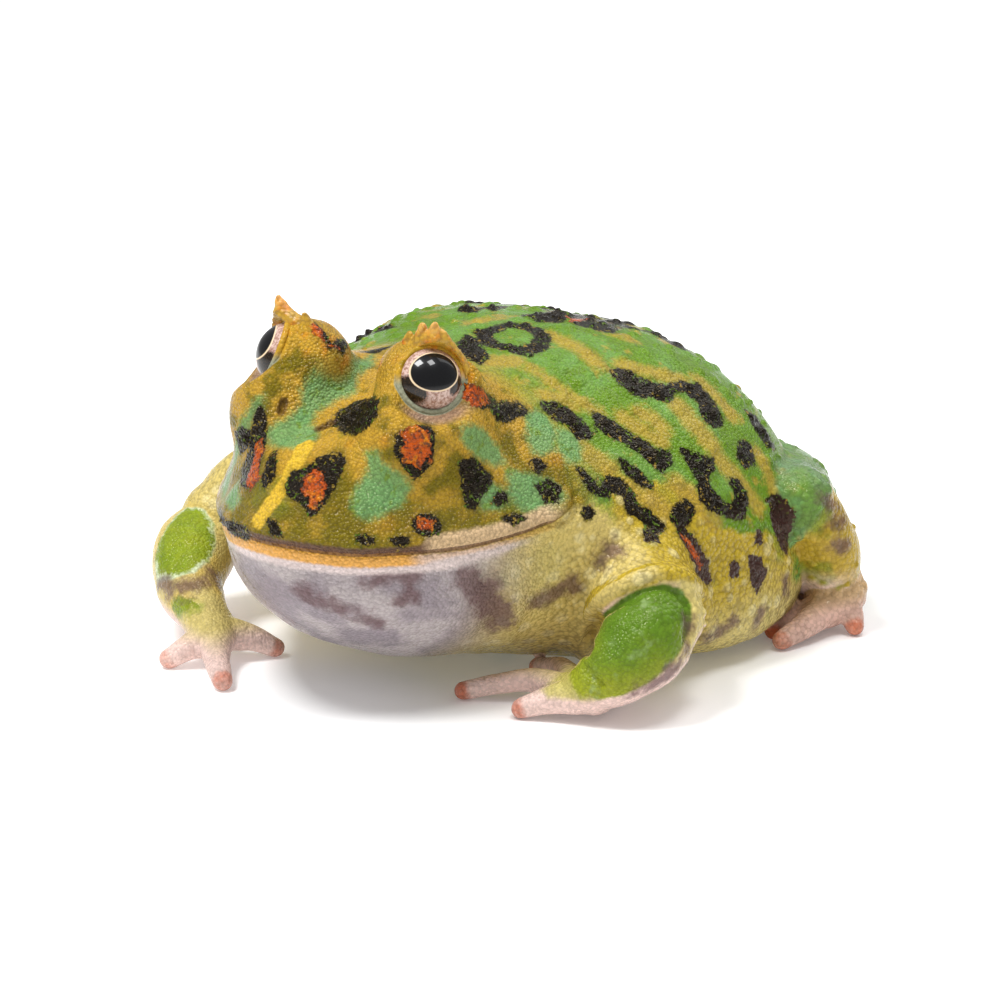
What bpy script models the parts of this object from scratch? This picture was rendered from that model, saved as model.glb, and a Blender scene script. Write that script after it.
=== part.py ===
"""A Cranwell's horned frog sitting on the floor, at life size.

The script works in millimetres and hands Blender metres. +Z is up, the snout points
towards -Y and the frog's own left is +X. Belly, hands and feet rest on flats at z = 0.
"""
import math

import bmesh
import bpy
import numpy as np
from mathutils import Matrix, Vector

MM = 0.001
GAP = 0.3                     # between two neighbouring sub-parts

# Driving dimensions
SNOUT = -50.0                 # front of the lips, along Y
VENT = 54.0                   # end of the body, along Y
NECK = -14.5                  # where head and jaw end and the torso begins
BELLY_SINK = 0.5              # the belly's round underside, cut off at the floor

EYE_RADIUS = 5.5
EYE_AT = np.array([12.6, -27.8, 49.5])
EYE_LOOKS = (50.0, 24.0)      # sideways from straight ahead, and up, in degrees
LID_RADIUS = 7.0
LID_SET_BACK = 2.5            # the lid's ball lies this far behind the eye's centre
MOUND_AT = np.array([12.6, -26.5, 41.5])     # middle of the mound under each eye
MOUND_RADII = np.array([9.2, 13.5, 11.6])
RIM_RADIUS = 5.05
RIM_THICK = 0.45
EYE_BEHIND = 0.8              # the skin inside a rim lies this far behind the eyeball's front
# Crest of skin over each eye, inner end first
BROW = [(5.2, -27.2, 50.8), (7.6, -27.5, 52.9), (10.4, -27.6, 54.1), (13.4, -27.4, 54.3),
        (16.6, -26.2, 52.6), (19.0, -24.5, 50.4)]
BROW_RADII = (1.7, 2.0, 2.0, 2.0, 1.9, 1.6)

# Peaks of a horn: foot, tip, radius at the foot and at the tip
HORN_PEAKS = [
    ((13.2, -26.9, 52.4), (14.6, -28.4, 58.6), 3.6, 0.45),
    ((16.2, -25.6, 51.4), (15.2, -27.4, 56.9), 2.4, 0.8),
    ((8.9, -27.3, 50.8), (9.8, -28.0, 56.5), 2.8, 0.5),
    ((9.8, -27.8, 54.0), (14.2, -28.0, 56.2), 1.5, 1.5),
]
LEFT_PEAK = ((11.2, -27.2, 52.4), (12.4, -28.5, 58.3), 2.9, 0.5)   # on the left horn alone

NOSTRIL_AT = np.array([4.5, -44.3, 38.9])
NOSTRIL_RADIUS = 0.75

# Along the body: y, half width, top, bottom, widest level, roundness above and below
STATIONS = np.array([
    [SNOUT, 0.0, 30.0, 24.5, 27.5, 2.0, 2.0],
    [-48.5, 7.6, 33.0, 21.0, 27.5, 2.0, 2.0],
    [-45.0, 13.1, 37.0, 16.5, 27.3, 1.9, 2.1],
    [-40.0, 18.1, 40.5, 12.0, 27.0, 1.85, 2.1],
    [-33.0, 23.1, 44.0, 7.2, 26.8, 1.8, 2.1],
    [-25.0, 27.5, 46.6, 4.2, 26.2, 1.75, 2.2],
    [-15.0, 32.5, 48.8, 2.4, 24.0, 1.8, 2.3],
    [-7.0, 36.5, 49.8, 0.8, 19.5, 1.8, 2.7],
    [1.0, 41.0, 50.1, 0.0, 15.0, 1.9, 3.8],
    [15.0, 45.8, 50.2, -BELLY_SINK, 11.5, 2.1, 4.7],
    [30.0, 44.2, 47.2, -BELLY_SINK, 11.0, 2.25, 4.2],
    [42.0, 36.0, 38.5, 0.0, 11.0, 2.15, 3.2],
    [50.0, 21.5, 26.0, 1.5, 11.5, 2.0, 2.4],
    [VENT, 0.0, 15.0, 9.0, 12.0, 2.0, 2.0],
])

# The line of the mouth, seen from the side: y and height
MOUTH = np.array([
    [-56.0, 28.4],
    [-50.0, 28.0],
    [-44.0, 27.2],
    [-33.0, 27.1],
    [-25.0, 27.9],
    [-20.0, 29.0],
    [-16.5, 30.4],
    [-12.0, 31.8],
])

# Swellings and hollows of the skin: x, y, height, spread, rise
RELIEF = [
    (0.0, -31.0, 45.0, 5.0, -1.4),       # dip between the eyes
    (0.0, -40.0, 40.5, 4.0, 0.5),        # top of the snout
    (10.0, -36.5, 42.5, 2.6, 1.3),       # ridge from eye to nostril
    (7.2, -41.5, 40.0, 2.2, 1.1),
    (4.5, -44.0, 38.2, 1.9, 0.7),        # rim of the nostril
    (15.0, -37.0, 36.5, 3.6, -0.9),      # hollow in front of the eye
    (20.5, -29.5, 40.5, 4.0, 1.6),       # cheek under the eye
    (14.5, -20.5, 47.5, 4.4, 2.6),       # ridge behind the eye
    (25.0, -17.0, 39.0, 4.6, 1.0),       # swelling above the eardrum
    (30.5, -12.5, 29.5, 4.0, 1.3),       # corner of the mouth
    (37.5, 2.0, 26.0, 8.0, 1.8),         # shoulder
    (22.0, 2.0, 47.0, 8.0, 0.8),         # long folds beside the spine
    (24.0, 18.0, 46.5, 8.0, 0.8),
    (0.0, 8.0, 51.0, 6.0, -0.7),         # groove of the spine
    (0.0, 24.0, 49.5, 6.0, -0.6),
]

LIP = 0.75                    # how far the upper lip stands out
JAW_INSET = 0.7               # how far the lower jaw lies behind the upper lip

RINGS = 90                    # of the body's own surface, before it is blended
SIDES = 90
VOXEL = 0.7                   # the body, mounds and lids are blended at this pitch
MOUND_ROUNDS = 110            # rounds of smoothing that blend the mounds in
LID_ROUNDS = 12               # and the lids
BODY_FACES = 5200             # triangles of the blended body


def smooth(xs, ys, x):
    """Monotone cubic through the points (xs, ys), read at x."""
    step = np.diff(xs)
    slope = np.diff(ys) / step
    rising = slope[:-1] * slope[1:] > 0
    before = np.where(rising, slope[:-1], 1.0)
    after = np.where(rising, slope[1:], 1.0)
    near = step[:-1] + 2 * step[1:]
    far = 2 * step[:-1] + step[1:]
    inner = np.where(rising, (near + far) / (near / before + far / after), 0.0)
    tangent = np.concatenate([slope[:1], inner, slope[-1:]])
    i = np.clip(np.searchsorted(xs, x) - 1, 0, len(step) - 1)
    t = (x - xs[i]) / step[i]
    rise = t * (1 - t) ** 2 * step[i] * tangent[i]
    fall = t * t * (t - 1) * step[i] * tangent[i + 1]
    return (1 + 2 * t) * (1 - t) ** 2 * ys[i] + rise + t * t * (3 - 2 * t) * ys[i + 1] + fall


def fade(low, high, x):
    """0 below low, 1 above high, smooth between."""
    t = np.clip((x - low) / (high - low), 0.0, 1.0)
    return t * t * (3 - 2 * t)


def bell(distance, spread):
    """Bell curve of height 1."""
    return np.exp(-0.5 * (distance / spread) ** 2)


def direction(sideways, up):
    """Unit vector for angles in degrees from straight ahead (-Y)."""
    a, e = math.radians(sideways), math.radians(up)
    return np.array([math.sin(a) * math.cos(e), -math.cos(a) * math.cos(e), math.sin(e)])


def grid_normals(grid):
    """Outward normals of rings of points that run round an axis along +Y."""
    along = np.gradient(grid, axis=0)
    around = np.roll(grid, -1, axis=1) - np.roll(grid, 1, axis=1)
    normal = np.cross(along, around)
    return normal / (np.linalg.norm(normal, axis=-1, keepdims=True) + 1e-9)


def lip_relief(points):
    """Lips on both sides of the line of the mouth, and the jaw set back below it."""
    y = points[..., 1]
    above = points[..., 2] - smooth(MOUTH[:, 0], MOUTH[:, 1], y)
    lips = LIP * bell(above - 1.4, 0.9) + 0.45 * LIP * bell(above + 2.0, 0.8)
    inset = JAW_INSET * (1 - fade(-0.8, 0.3, above)) * fade(-12.0, -4.0, above)
    return (lips - inset) * (1 - fade(-21.0, NECK, y))


def body_rings():
    """Rings of the body, head to vent.

    Each ring is a superellipse whose half width and half heights come from STATIONS:
    x = w sgn(cos v) |cos v|^(2/p) and z = m + h sgn(sin v) |sin v|^(2/p).
    Then RELIEF moves it along its normals.
    """
    t = np.arange(1, RINGS) / RINGS
    y = SNOUT + (VENT - SNOUT) * (1 - np.cos(math.pi * t)) / 2
    column = STATIONS.T

    def read(values):
        return smooth(column[0], values, y)[:, None]

    width = np.sqrt(read(column[1] ** 2))
    level = read(column[4])
    height_up = np.sqrt(read((column[2] - column[4]) ** 2))
    height_down = np.sqrt(read((column[4] - column[3]) ** 2))
    even = np.arange(SIDES) * math.tau / SIDES
    v = even - 0.22 * np.sin(2 * even)
    cosine, sine = np.cos(v)[None], np.sin(v)[None]
    power = np.where(sine >= 0, 2 / read(column[5]), 2 / read(column[6]))
    height = np.where(sine >= 0, height_up, height_down)
    x = width * np.sign(cosine) * np.abs(cosine) ** power
    z = level + height * np.sign(sine) * np.abs(sine) ** power
    rings = np.stack([x, np.broadcast_to(y[:, None], x.shape), z], axis=-1)
    normals = grid_normals(rings)
    rise = np.zeros(rings.shape[:2])
    for bx, by, bz, spread, amount in RELIEF:
        for side in ((1,) if bx == 0 else (1, -1)):
            away = np.linalg.norm(rings - np.array([side * bx, by, bz]), axis=-1)
            rise = rise + amount * bell(away, spread)
    return rings + normals * rise[..., None]


def path_rings(path, radii, rings=9, sides=10, grow=0.0):
    """Rings round a smooth path through the points, with half a ball at each end.

    The first and the last ring are single points, given as rings of equal points.
    """
    path = np.asarray(path, float)
    steps = np.linalg.norm(np.diff(path, axis=0), axis=1)
    walked = np.concatenate([[0.0], np.cumsum(steps)])
    t = np.linspace(0.0, walked[-1], rings)
    centre = np.stack([smooth(walked, path[:, k], t) for k in range(3)], axis=-1)
    ahead = np.gradient(centre, axis=0)
    ahead /= np.linalg.norm(ahead, axis=1, keepdims=True)
    radius = smooth(walked, np.asarray(radii, float), t) + grow
    turn = np.array([0.0, 0.35, 0.7]) * math.pi / 2          # angles from a pole
    start = centre[0] - ahead[0] * (radius[0] * np.cos(turn))[:, None]
    end = centre[-1] + ahead[-1] * (radius[-1] * np.cos(turn[::-1]))[:, None]
    centre = np.concatenate([start, centre, end])
    ahead = np.concatenate([np.repeat(ahead[:1], 3, 0), ahead, np.repeat(ahead[-1:], 3, 0)])
    radius = np.concatenate([radius[0] * np.sin(turn), radius, radius[-1] * np.sin(turn[::-1])])
    side = np.cross(ahead, [0.0, 0.0, 1.0]) + np.array([1e-4, 0.0, 0.0])
    side /= np.linalg.norm(side, axis=1, keepdims=True)
    up = np.cross(side, ahead)
    v = np.arange(sides) * math.tau / sides
    circle = side[:, None] * np.cos(v)[None, :, None] + up[:, None] * np.sin(v)[None, :, None]
    return centre[:, None] + radius[:, None, None] * circle


def with_ends(rings, first, last):
    """The rings with a ring of equal points at each end."""
    shape = (1, rings.shape[1], 3)
    return np.concatenate([np.broadcast_to(first, shape), rings, np.broadcast_to(last, shape)])


def add_object(name, mesh, collection):
    """New object for a mesh, in a collection."""
    obj = bpy.data.objects.new(name, mesh)
    collection.objects.link(obj)
    return obj


def rings_mesh(name, rings):
    """Closed mesh of quads between rings, whose two end rings are poles."""
    count, sides = rings.shape[:2]
    inner = rings[1:-1].reshape(-1, 3)
    points = np.concatenate([rings[:1, 0], inner, rings[-1:, 0]]) * MM
    last = len(points) - 1
    faces = []
    for j in range(sides):
        k = (j + 1) % sides
        faces.append((0, 1 + k, 1 + j))
        faces.append((last, last - sides + j, last - sides + k))
        for i in range(count - 3):
            a = 1 + i * sides
            faces.append((a + j, a + k, a + sides + k, a + sides + j))
    mesh = bpy.data.meshes.new(name)
    mesh.from_pydata(points.tolist(), [], faces)
    shape = bmesh.new()
    shape.from_mesh(mesh)
    bmesh.ops.recalc_face_normals(shape, faces=shape.faces)
    shape.to_mesh(mesh)
    shape.free()
    return mesh


def ball_mesh(name, centre, radius, u=20, v=14):
    """Ball made from Blender's own sphere."""
    shape = bmesh.new()
    bmesh.ops.create_uvsphere(shape, u_segments=u, v_segments=v, radius=radius * MM)
    bmesh.ops.translate(shape, vec=[c * MM for c in centre], verts=shape.verts)
    mesh = bpy.data.meshes.new(name)
    shape.to_mesh(mesh)
    shape.free()
    return mesh


def egg_mesh(name, centre, radii, u=24, v=14):
    """Ball stretched along the axes."""
    mesh = ball_mesh(name, (0, 0, 0), 1.0, u, v)
    shape = Matrix.Translation([c * MM for c in centre]) @ Matrix.Diagonal((*radii, 1.0))
    mesh.transform(shape)
    return mesh


def box_mesh(name, low, high):
    """Box between two corners."""
    shape = bmesh.new()
    bmesh.ops.create_cube(shape, size=1.0)
    low, high = np.array(low) * MM, np.array(high) * MM
    bmesh.ops.scale(shape, vec=high - low, verts=shape.verts)
    bmesh.ops.translate(shape, vec=(low + high) / 2, verts=shape.verts)
    mesh = bpy.data.meshes.new(name)
    shape.to_mesh(mesh)
    shape.free()
    return mesh


def ring_mesh(name, centre, axis, radius, thick, sides=24):
    """Closed round ring about an axis: the rim of an eyelid."""
    axis = np.asarray(axis, float)
    side = np.cross(axis, [0.0, 0.0, 1.0])
    side /= np.linalg.norm(side)
    up = np.cross(side, axis)
    around = np.arange(sides) * math.tau / sides
    section = np.arange(8) * math.tau / 8
    out = side * np.cos(around)[:, None] + up * np.sin(around)[:, None]
    reach = radius + thick * np.cos(section)
    points = centre + out[:, None] * reach[None, :, None]
    points = points + axis * (thick * np.sin(section))[None, :, None]
    faces = []
    for i in range(sides):
        n = (i + 1) % sides
        for j in range(8):
            k = (j + 1) % 8
            faces.append((i * 8 + j, i * 8 + k, n * 8 + k, n * 8 + j))
    mesh = bpy.data.meshes.new(name)
    mesh.from_pydata((points.reshape(-1, 3) * MM).tolist(), [], faces)
    shape = bmesh.new()
    shape.from_mesh(mesh)
    bmesh.ops.recalc_face_normals(shape, faces=shape.faces)
    shape.to_mesh(mesh)
    shape.free()
    return mesh


def mouth_block(name, offset, far):
    """Everything on one side of the mouth's surface: far is its other height."""
    y = np.linspace(MOUTH[0, 0], MOUTH[-1, 0], 30)
    z = smooth(MOUTH[:, 0], MOUTH[:, 1], y) + offset
    outline = [(a, b) for a, b in zip(y, z)] + [(y[-1], far), (y[0], far)]
    count = len(outline)
    points = [(x * MM, a * MM, b * MM) for x in (-60.0, 60.0) for a, b in outline]
    faces = [tuple(range(count)), tuple(range(2 * count - 1, count - 1, -1))]
    for i in range(count):
        k = (i + 1) % count
        faces.append((i, k, count + k, count + i))
    mesh = bpy.data.meshes.new(name)
    mesh.from_pydata(points, [], faces)
    shape = bmesh.new()
    shape.from_mesh(mesh)
    bmesh.ops.recalc_face_normals(shape, faces=shape.faces)
    shape.to_mesh(mesh)
    shape.free()
    return mesh


def keep_largest(mesh, near):
    """Drop every closed surface but the largest, and merge points nearer than near.

    Returns whether what is left is closed.
    """
    shape = bmesh.new()
    shape.from_mesh(mesh)
    bmesh.ops.remove_doubles(shape, verts=shape.verts, dist=near * MM)
    bmesh.ops.dissolve_degenerate(shape, edges=shape.edges, dist=near * MM)
    islands = []
    waiting = set(shape.faces)
    while waiting:
        island = [waiting.pop()]
        for face in island:
            for edge in face.edges:
                for other in edge.link_faces:
                    if other in waiting:
                        waiting.discard(other)
                        island.append(other)
        islands.append(island)
    islands.sort(key=lambda island: sum(face.calc_area() for face in island))
    for island in islands[:-1]:
        bmesh.ops.delete(shape, geom=island, context="FACES")
    bmesh.ops.triangulate(shape, faces=shape.faces)
    closed = all(edge.is_manifold for edge in shape.edges)
    shape.to_mesh(mesh)
    shape.free()
    return closed


class Workshop:
    """The two collections, and the cutting and joining of solids."""

    def __init__(self):
        for obj in list(bpy.data.objects):
            bpy.data.objects.remove(obj, do_unlink=True)
        self.parts = bpy.data.collections.new("horned_frog")
        self.cutters = bpy.data.collections.new("cutters")
        for collection in (self.parts, self.cutters):
            bpy.context.scene.collection.children.link(collection)

    def part(self, name, mesh, material):
        """A sub-part with its own material."""
        obj = add_object(name, mesh, self.parts)
        mesh.materials.clear()
        mesh.materials.append(material)
        return obj

    def changed(self, obj, operation, tool, solver, near):
        """The object's mesh after one Boolean with a tool, and whether it is closed."""
        change = obj.modifiers.new("shape", "BOOLEAN")
        change.operation = operation
        change.solver = solver
        change.object = tool
        view = bpy.context.evaluated_depsgraph_get()
        view.update()
        result = bpy.data.meshes.new_from_object(obj.evaluated_get(view))
        obj.modifiers.clear()
        return result, keep_largest(result, near)

    def apply(self, obj, operation, meshes):
        """Join meshes to the object, or cut them from it, one after another."""
        for mesh in meshes:
            tool = add_object("tool", mesh, self.cutters)
            tool.hide_render = True
            tool.display_type = "WIRE"
            for solver, near in (("EXACT", 0.01), ("MANIFOLD", 0.01), ("EXACT", 0.001)):
                result, closed = self.changed(obj, operation, tool, solver, near)
                if closed:
                    break
            obj.data = result
            bpy.data.objects.remove(tool, do_unlink=True)


def material(name, colour, roughness=0.35):
    """Principled material of one colour."""
    made = bpy.data.materials.new(name)
    made.use_nodes = True
    shader = made.node_tree.nodes["Principled BSDF"]
    shader.inputs["Base Color"].default_value = (*colour, 1.0)
    shader.inputs["Roughness"].default_value = roughness
    shader.inputs["Metallic"].default_value = 0.0
    return made


def eye_axis(side):
    """Where an eye looks: side is 1 for the left and -1 for the right."""
    return direction(side * EYE_LOOKS[0], EYE_LOOKS[1])


def sided(point, side):
    """A point given for the left side, on either side."""
    return np.asarray(point, float) * np.array([side, 1.0, 1.0])


def lid_centre(side):
    """Centre of the ball that an eyelid is part of."""
    return sided(EYE_AT, side) - LID_SET_BACK * eye_axis(side)


def rim_centre(side):
    """Centre of the ring where the lid's ball meets the eyeball."""
    reach = (LID_RADIUS ** 2 - EYE_RADIUS ** 2 - LID_SET_BACK ** 2) / (2 * LID_SET_BACK)
    return sided(EYE_AT, side) + reach * eye_axis(side)


def with_openings(places):
    """The skin inside each eye's rim, pressed back behind the eyeball's surface."""
    for side in (1, -1):
        axis = eye_axis(side)
        away = places - sided(EYE_AT, side)
        depth = away @ axis
        across = np.linalg.norm(away - depth[:, None] * axis, axis=1)
        inside = 1 - fade(RIM_RADIUS - 0.5, RIM_RADIUS + 0.2, across)
        ball = np.sqrt(np.maximum(EYE_RADIUS ** 2 - across ** 2, 0.0))
        excess = np.where(depth > 0, np.maximum(depth - ball + EYE_BEHIND, 0.0), 0.0)
        places = places - axis * (inside * excess)[:, None]
    return places


def joined(meshes):
    """One mesh that holds several closed surfaces."""
    shape = bmesh.new()
    for mesh in meshes:
        shape.from_mesh(mesh)
    result = bpy.data.meshes.new("joined")
    shape.to_mesh(result)
    shape.free()
    return result


def with_modifiers(shop, mesh, settings):
    """The mesh after a few modifiers, each given as its type and its settings."""
    obj = add_object("modified", mesh, shop.cutters)
    for kind, values in settings:
        modifier = obj.modifiers.new(kind.lower(), kind)
        for key, value in values.items():
            setattr(modifier, key, value)
    view = bpy.context.evaluated_depsgraph_get()
    view.update()
    result = bpy.data.meshes.new_from_object(obj.evaluated_get(view))
    bpy.data.objects.remove(obj, do_unlink=True)
    return result


def blended(shop, meshes, rounds):
    """Closed surfaces fused into one on a voxel grid, with their creases smoothed."""
    return with_modifiers(shop, joined(meshes), [
        ("REMESH", {"mode": "VOXEL", "voxel_size": VOXEL * MM}),
        ("SMOOTH", {"factor": 0.5, "iterations": rounds}),
    ])


def vertex_arrays(mesh):
    """Places of a mesh's vertices in millimetres, and their normals."""
    places = np.empty(len(mesh.vertices) * 3, np.float32)
    mesh.vertices.foreach_get("co", places)
    normals = np.empty(len(mesh.vertices) * 3, np.float32)
    mesh.vertex_normals.foreach_get("vector", normals)
    return places.reshape(-1, 3) / MM, normals.reshape(-1, 3)


def moved(mesh, rise):
    """A copy of the mesh with its vertices moved along their normals, in millimetres."""
    places, normals = vertex_arrays(mesh)
    result = mesh.copy()
    places = places + normals * np.broadcast_to(rise, len(places))[:, None]
    result.vertices.foreach_set("co", (places * MM).astype(np.float32).ravel())
    result.update()
    return result


def whole_body(shop):
    """Head, jaw and torso in one closed surface: mounds and lids blended in, lips raised."""
    front = np.array([0.0, SNOUT, 27.5])
    back = np.array([0.0, VENT, 12.0])
    body = rings_mesh("body", with_ends(body_rings(), front, back))
    mounds = [egg_mesh("mound", sided(MOUND_AT, side), MOUND_RADII) for side in (1, -1)]
    soft = blended(shop, [body, *mounds], MOUND_ROUNDS)
    lids = [ball_mesh("lid", lid_centre(side), LID_RADIUS, 40, 28) for side in (1, -1)]
    brows = [limb([sided(p, side) for p in BROW], BROW_RADII, 20, 20) for side in (1, -1)]
    soft = blended(shop, [soft, *lids, *brows], LID_ROUNDS)
    soft = moved(soft, lip_relief(vertex_arrays(soft)[0]))
    places = with_openings(vertex_arrays(soft)[0])
    soft.vertices.foreach_set("co", (places * MM).astype(np.float32).ravel())
    soft.update()
    share = BODY_FACES / (2 * len(soft.polygons))
    return with_modifiers(shop, soft, [("DECIMATE", {"ratio": share})])


def limb(path, radii, rings=8, sides=16, grow=0.0):
    """Closed surface of one stretch of a limb."""
    return rings_mesh("limb", path_rings(path, radii, rings, sides, grow))


# Limbs: points along the middle of each stretch, and the radius there
LEFT_ARM = {
    "upper_arm": ([(28, 0, 16), (36, -5.8, 16.4), (40.8, -10.2, 15.4)], (11.5, 9.2, 8.0)),
    "forearm": ([(43.2, -10.5, 14.5), (43.1, -15.5, 11.5), (41, -19.6, 8), (37.6, -21.8, 5)],
                (6.4, 7.0, 5.6, 3.8)),
}
RIGHT_ARM = {
    "upper_arm": ([(-28.5, 0, 20), (-35, -7.5, 19), (-38.8, -13.8, 15.6)], (11.5, 9.4, 7.0)),
    "forearm": ([(-40.6, -14.8, 13.6), (-39.7, -20, 12), (-34.7, -27.2, 8.8), (-27, -33, 6)],
                (5.6, 6.6, 5.5, 3.8)),
}
LEFT_LEG = {
    "thigh": ([(18, 41, 14), (32, 38.5, 17), (42.4, 29.5, 21.8)], (13.0, 11.4, 6.6)),
    "shank": ([(44.2, 31, 20.3), (45.6, 34.2, 14.5), (45, 37.2, 8)], (5.1, 5.5, 5.0)),
}
RIGHT_LEG = {name: ([sided(p, -1) for p in path], radii) for name, (path, radii) in LEFT_LEG.items()}

# Palms and soles, then digits from the inner one outwards: points, radii
LEFT_HAND = [
    ([(38, -21, 4.4), (33.5, -20.4, 3.4)], (3.6, 3.0)),
    ([(33.5, -20.8, 3.6), (26.5, -19.8, 3.4), (21, -22.6, 2.4), (17.2, -25.2, 1.4)],
     (2.6, 1.9, 1.55, 1.45)),
    ([(36, -22.8, 3.8), (32.5, -24.6, 2.9), (28.8, -26.7, 1.5)], (2.9, 2.1, 1.55)),
    ([(33.5, -19, 3.6), (26.5, -12.4, 3), (20.6, -10.2, 1.4)], (2.6, 1.8, 1.45)),
    ([(38, -19.5, 3.6), (37.6, -13, 2.2), (36.2, -8.6, 1.4)], (2.8, 1.8, 1.45)),
]
RIGHT_HAND = [
    ([(-26.6, -32.6, 5.2), (-23.6, -35.2, 4.2)], (3.9, 3.5)),
    ([(-24, -34.4, 4.4), (-26.6, -38, 3), (-28.4, -40, 1.5)], (3.0, 2.1, 1.65)),
    ([(-23.5, -34.8, 4.4), (-20.2, -38.6, 3.2), (-15.3, -42.9, 1.5)], (3.0, 2.2, 1.65)),
    ([(-24.4, -33, 4.6), (-21, -29.4, 3.4), (-18.2, -26.6, 1.5)], (3.0, 2.1, 1.55)),
    ([(-26.5, -32, 4.4), (-29, -27.6, 2.4), (-30.6, -24.6, 1.4)], (2.9, 1.9, 1.45)),
]
LEFT_FOOT = [
    ([(47, 37.6, 5.4), (46.6, 33.5, 4)], (4.3, 3.4)),
    ([(45, 38, 3.8), (43.6, 41.2, 2.4), (42.6, 43.6, 1.4)], (2.8, 1.9, 1.45)),
    ([(45.4, 35.8, 3.6), (41.6, 33.2, 2.3), (39.4, 30.6, 1.3)], (2.8, 1.8, 1.35)),
    ([(45.6, 34, 3.8), (42.8, 29, 2.3), (41.6, 25.4, 1.3)], (2.8, 1.8, 1.35)),
    ([(46.6, 33.6, 4), (46.5, 27.8, 2.9), (45.3, 21.9, 1.5)], (3.1, 2.2, 1.55)),
    ([(48, 36.6, 4), (50.2, 35.6, 2.8), (51.4, 34.6, 1.5)], (3.0, 2.0, 1.55)),
]
RIGHT_FOOT = [([sided(p, -1) for p in path], radii) for path, radii in LEFT_FOOT]


def floor_cutter():
    """Everything under the floor."""
    return box_mesh("floor", (-90, -90, -20), (90, 90, 0))


def make_head(shop, body, skin):
    """Upper head with lids, rims, eye sockets and nostrils, cut along the mouth."""
    head = shop.part("head", body.copy(), skin)
    shop.apply(head, "DIFFERENCE", [box_mesh("rear", (-90, NECK - GAP / 2, -20), (90, 90, 90))])
    for side in (1, -1):
        rim = ring_mesh("rim", rim_centre(side), eye_axis(side), RIM_RADIUS, RIM_THICK)
        shop.apply(head, "UNION", [rim])
        socket = ball_mesh("socket", sided(EYE_AT, side), EYE_RADIUS + GAP)
        nostril = ball_mesh("nostril", sided(NOSTRIL_AT, side), NOSTRIL_RADIUS, 10, 8)
        shop.apply(head, "DIFFERENCE", [socket, nostril])
    shop.apply(head, "DIFFERENCE", [mouth_block("below", GAP / 2, -20.0)])
    return head


def make_jaw(shop, body, skin):
    """Lower jaw and throat, in front of the neck and under the line of the mouth."""
    jaw = shop.part("lower_jaw", body.copy(), skin)
    shop.apply(jaw, "DIFFERENCE", [
        box_mesh("rear", (-90, NECK - GAP / 2, -20), (90, 90, 90)),
        mouth_block("above", -GAP / 2, 80.0),
        floor_cutter(),
    ])
    return jaw


def make_torso(shop, body, skin):
    """Trunk behind the neck, flat where the belly rests."""
    torso = shop.part("torso", body.copy(), skin)
    shop.apply(torso, "DIFFERENCE", [
        box_mesh("front", (-90, -90, -20), (90, NECK + GAP / 2, 90)),
        floor_cutter(),
    ])
    return torso


def make_eye(shop, side, name, eye_material):
    """Eyeball."""
    return shop.part(name, ball_mesh(name, sided(EYE_AT, side), EYE_RADIUS), eye_material)


def make_horn(shop, body, side, name, horn_material):
    """Pointed flap of skin that stands on the upper lid."""
    peaks = HORN_PEAKS + ([LEFT_PEAK] if side > 0 else [])
    first, *rest = [
        limb([sided(foot, side), sided(tip, side)], (wide, thin), 5, 12)
        for foot, tip, wide, thin in peaks
    ]
    horn = shop.part(name, first, horn_material)
    for peak in rest:
        shop.apply(horn, "UNION", [peak])
    shop.apply(horn, "DIFFERENCE", [
        moved(body, GAP),
        ring_mesh("rim", rim_centre(side), eye_axis(side), RIM_RADIUS, RIM_THICK + GAP),
        ball_mesh("socket", sided(EYE_AT, side), EYE_RADIUS + GAP),
    ])
    return horn


def make_limb(shop, body, side_name, stretches, digits, last_name, skin, pale):
    """Two stretches of a limb and its hand or foot, each cut clear of the one before it."""
    names = list(stretches)
    earlier = [moved(body, GAP)]
    for name in names:
        path, radii = stretches[name]
        piece = shop.part(f"{side_name}_{name}", limb(path, radii), skin)
        shop.apply(piece, "DIFFERENCE", [mesh.copy() for mesh in earlier] + [floor_cutter()])
        earlier.append(limb(path, radii, grow=GAP))
    root, *rest = digits
    end = shop.part(f"{side_name}_{last_name}", limb(*root, 6, 12), pale)
    for path, radii in rest:
        shop.apply(end, "UNION", [limb(path, radii, 5, 8)])
    shop.apply(end, "DIFFERENCE", [mesh.copy() for mesh in earlier] + [floor_cutter()])


def stand_on_origin(objects):
    """Move the whole frog so that the origin lies under the middle of its box."""
    corners = np.array([obj.matrix_world @ Vector(c) for obj in objects for c in obj.bound_box])
    middle = (corners.min(axis=0) + corners.max(axis=0)) / 2
    shift = Matrix.Translation((-middle[0], -middle[1], 0.0))
    for obj in objects:
        obj.data.transform(shift)


def main():
    shop = Workshop()
    back = material("skin_back", (0.12, 0.28, 0.10))
    belly = material("skin_belly", (0.62, 0.56, 0.60))
    arm = material("skin_arm", (0.16, 0.33, 0.05))
    hand = material("skin_hand", (0.75, 0.48, 0.44))
    eye = material("eye", (0.02, 0.015, 0.015), 0.05)
    horn = material("horn", (0.55, 0.33, 0.10))
    body = whole_body(shop)
    make_head(shop, body, back)
    make_jaw(shop, body, belly)
    make_torso(shop, body, back.copy())
    for side, name in ((1, "left"), (-1, "right")):
        make_eye(shop, side, f"{name}_eye", eye.copy())
        make_horn(shop, body, side, f"{name}_horn", horn.copy())
    limbs = (
        ("left", LEFT_ARM, LEFT_HAND, "hand"),
        ("right", RIGHT_ARM, RIGHT_HAND, "hand"),
        ("left", LEFT_LEG, LEFT_FOOT, "foot"),
        ("right", RIGHT_LEG, RIGHT_FOOT, "foot"),
    )
    for side_name, stretches, digits, last_name in limbs:
        make_limb(shop, body, side_name, stretches, digits, last_name, arm.copy(), hand.copy())
    stand_on_origin(list(shop.parts.objects))


main()
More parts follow.
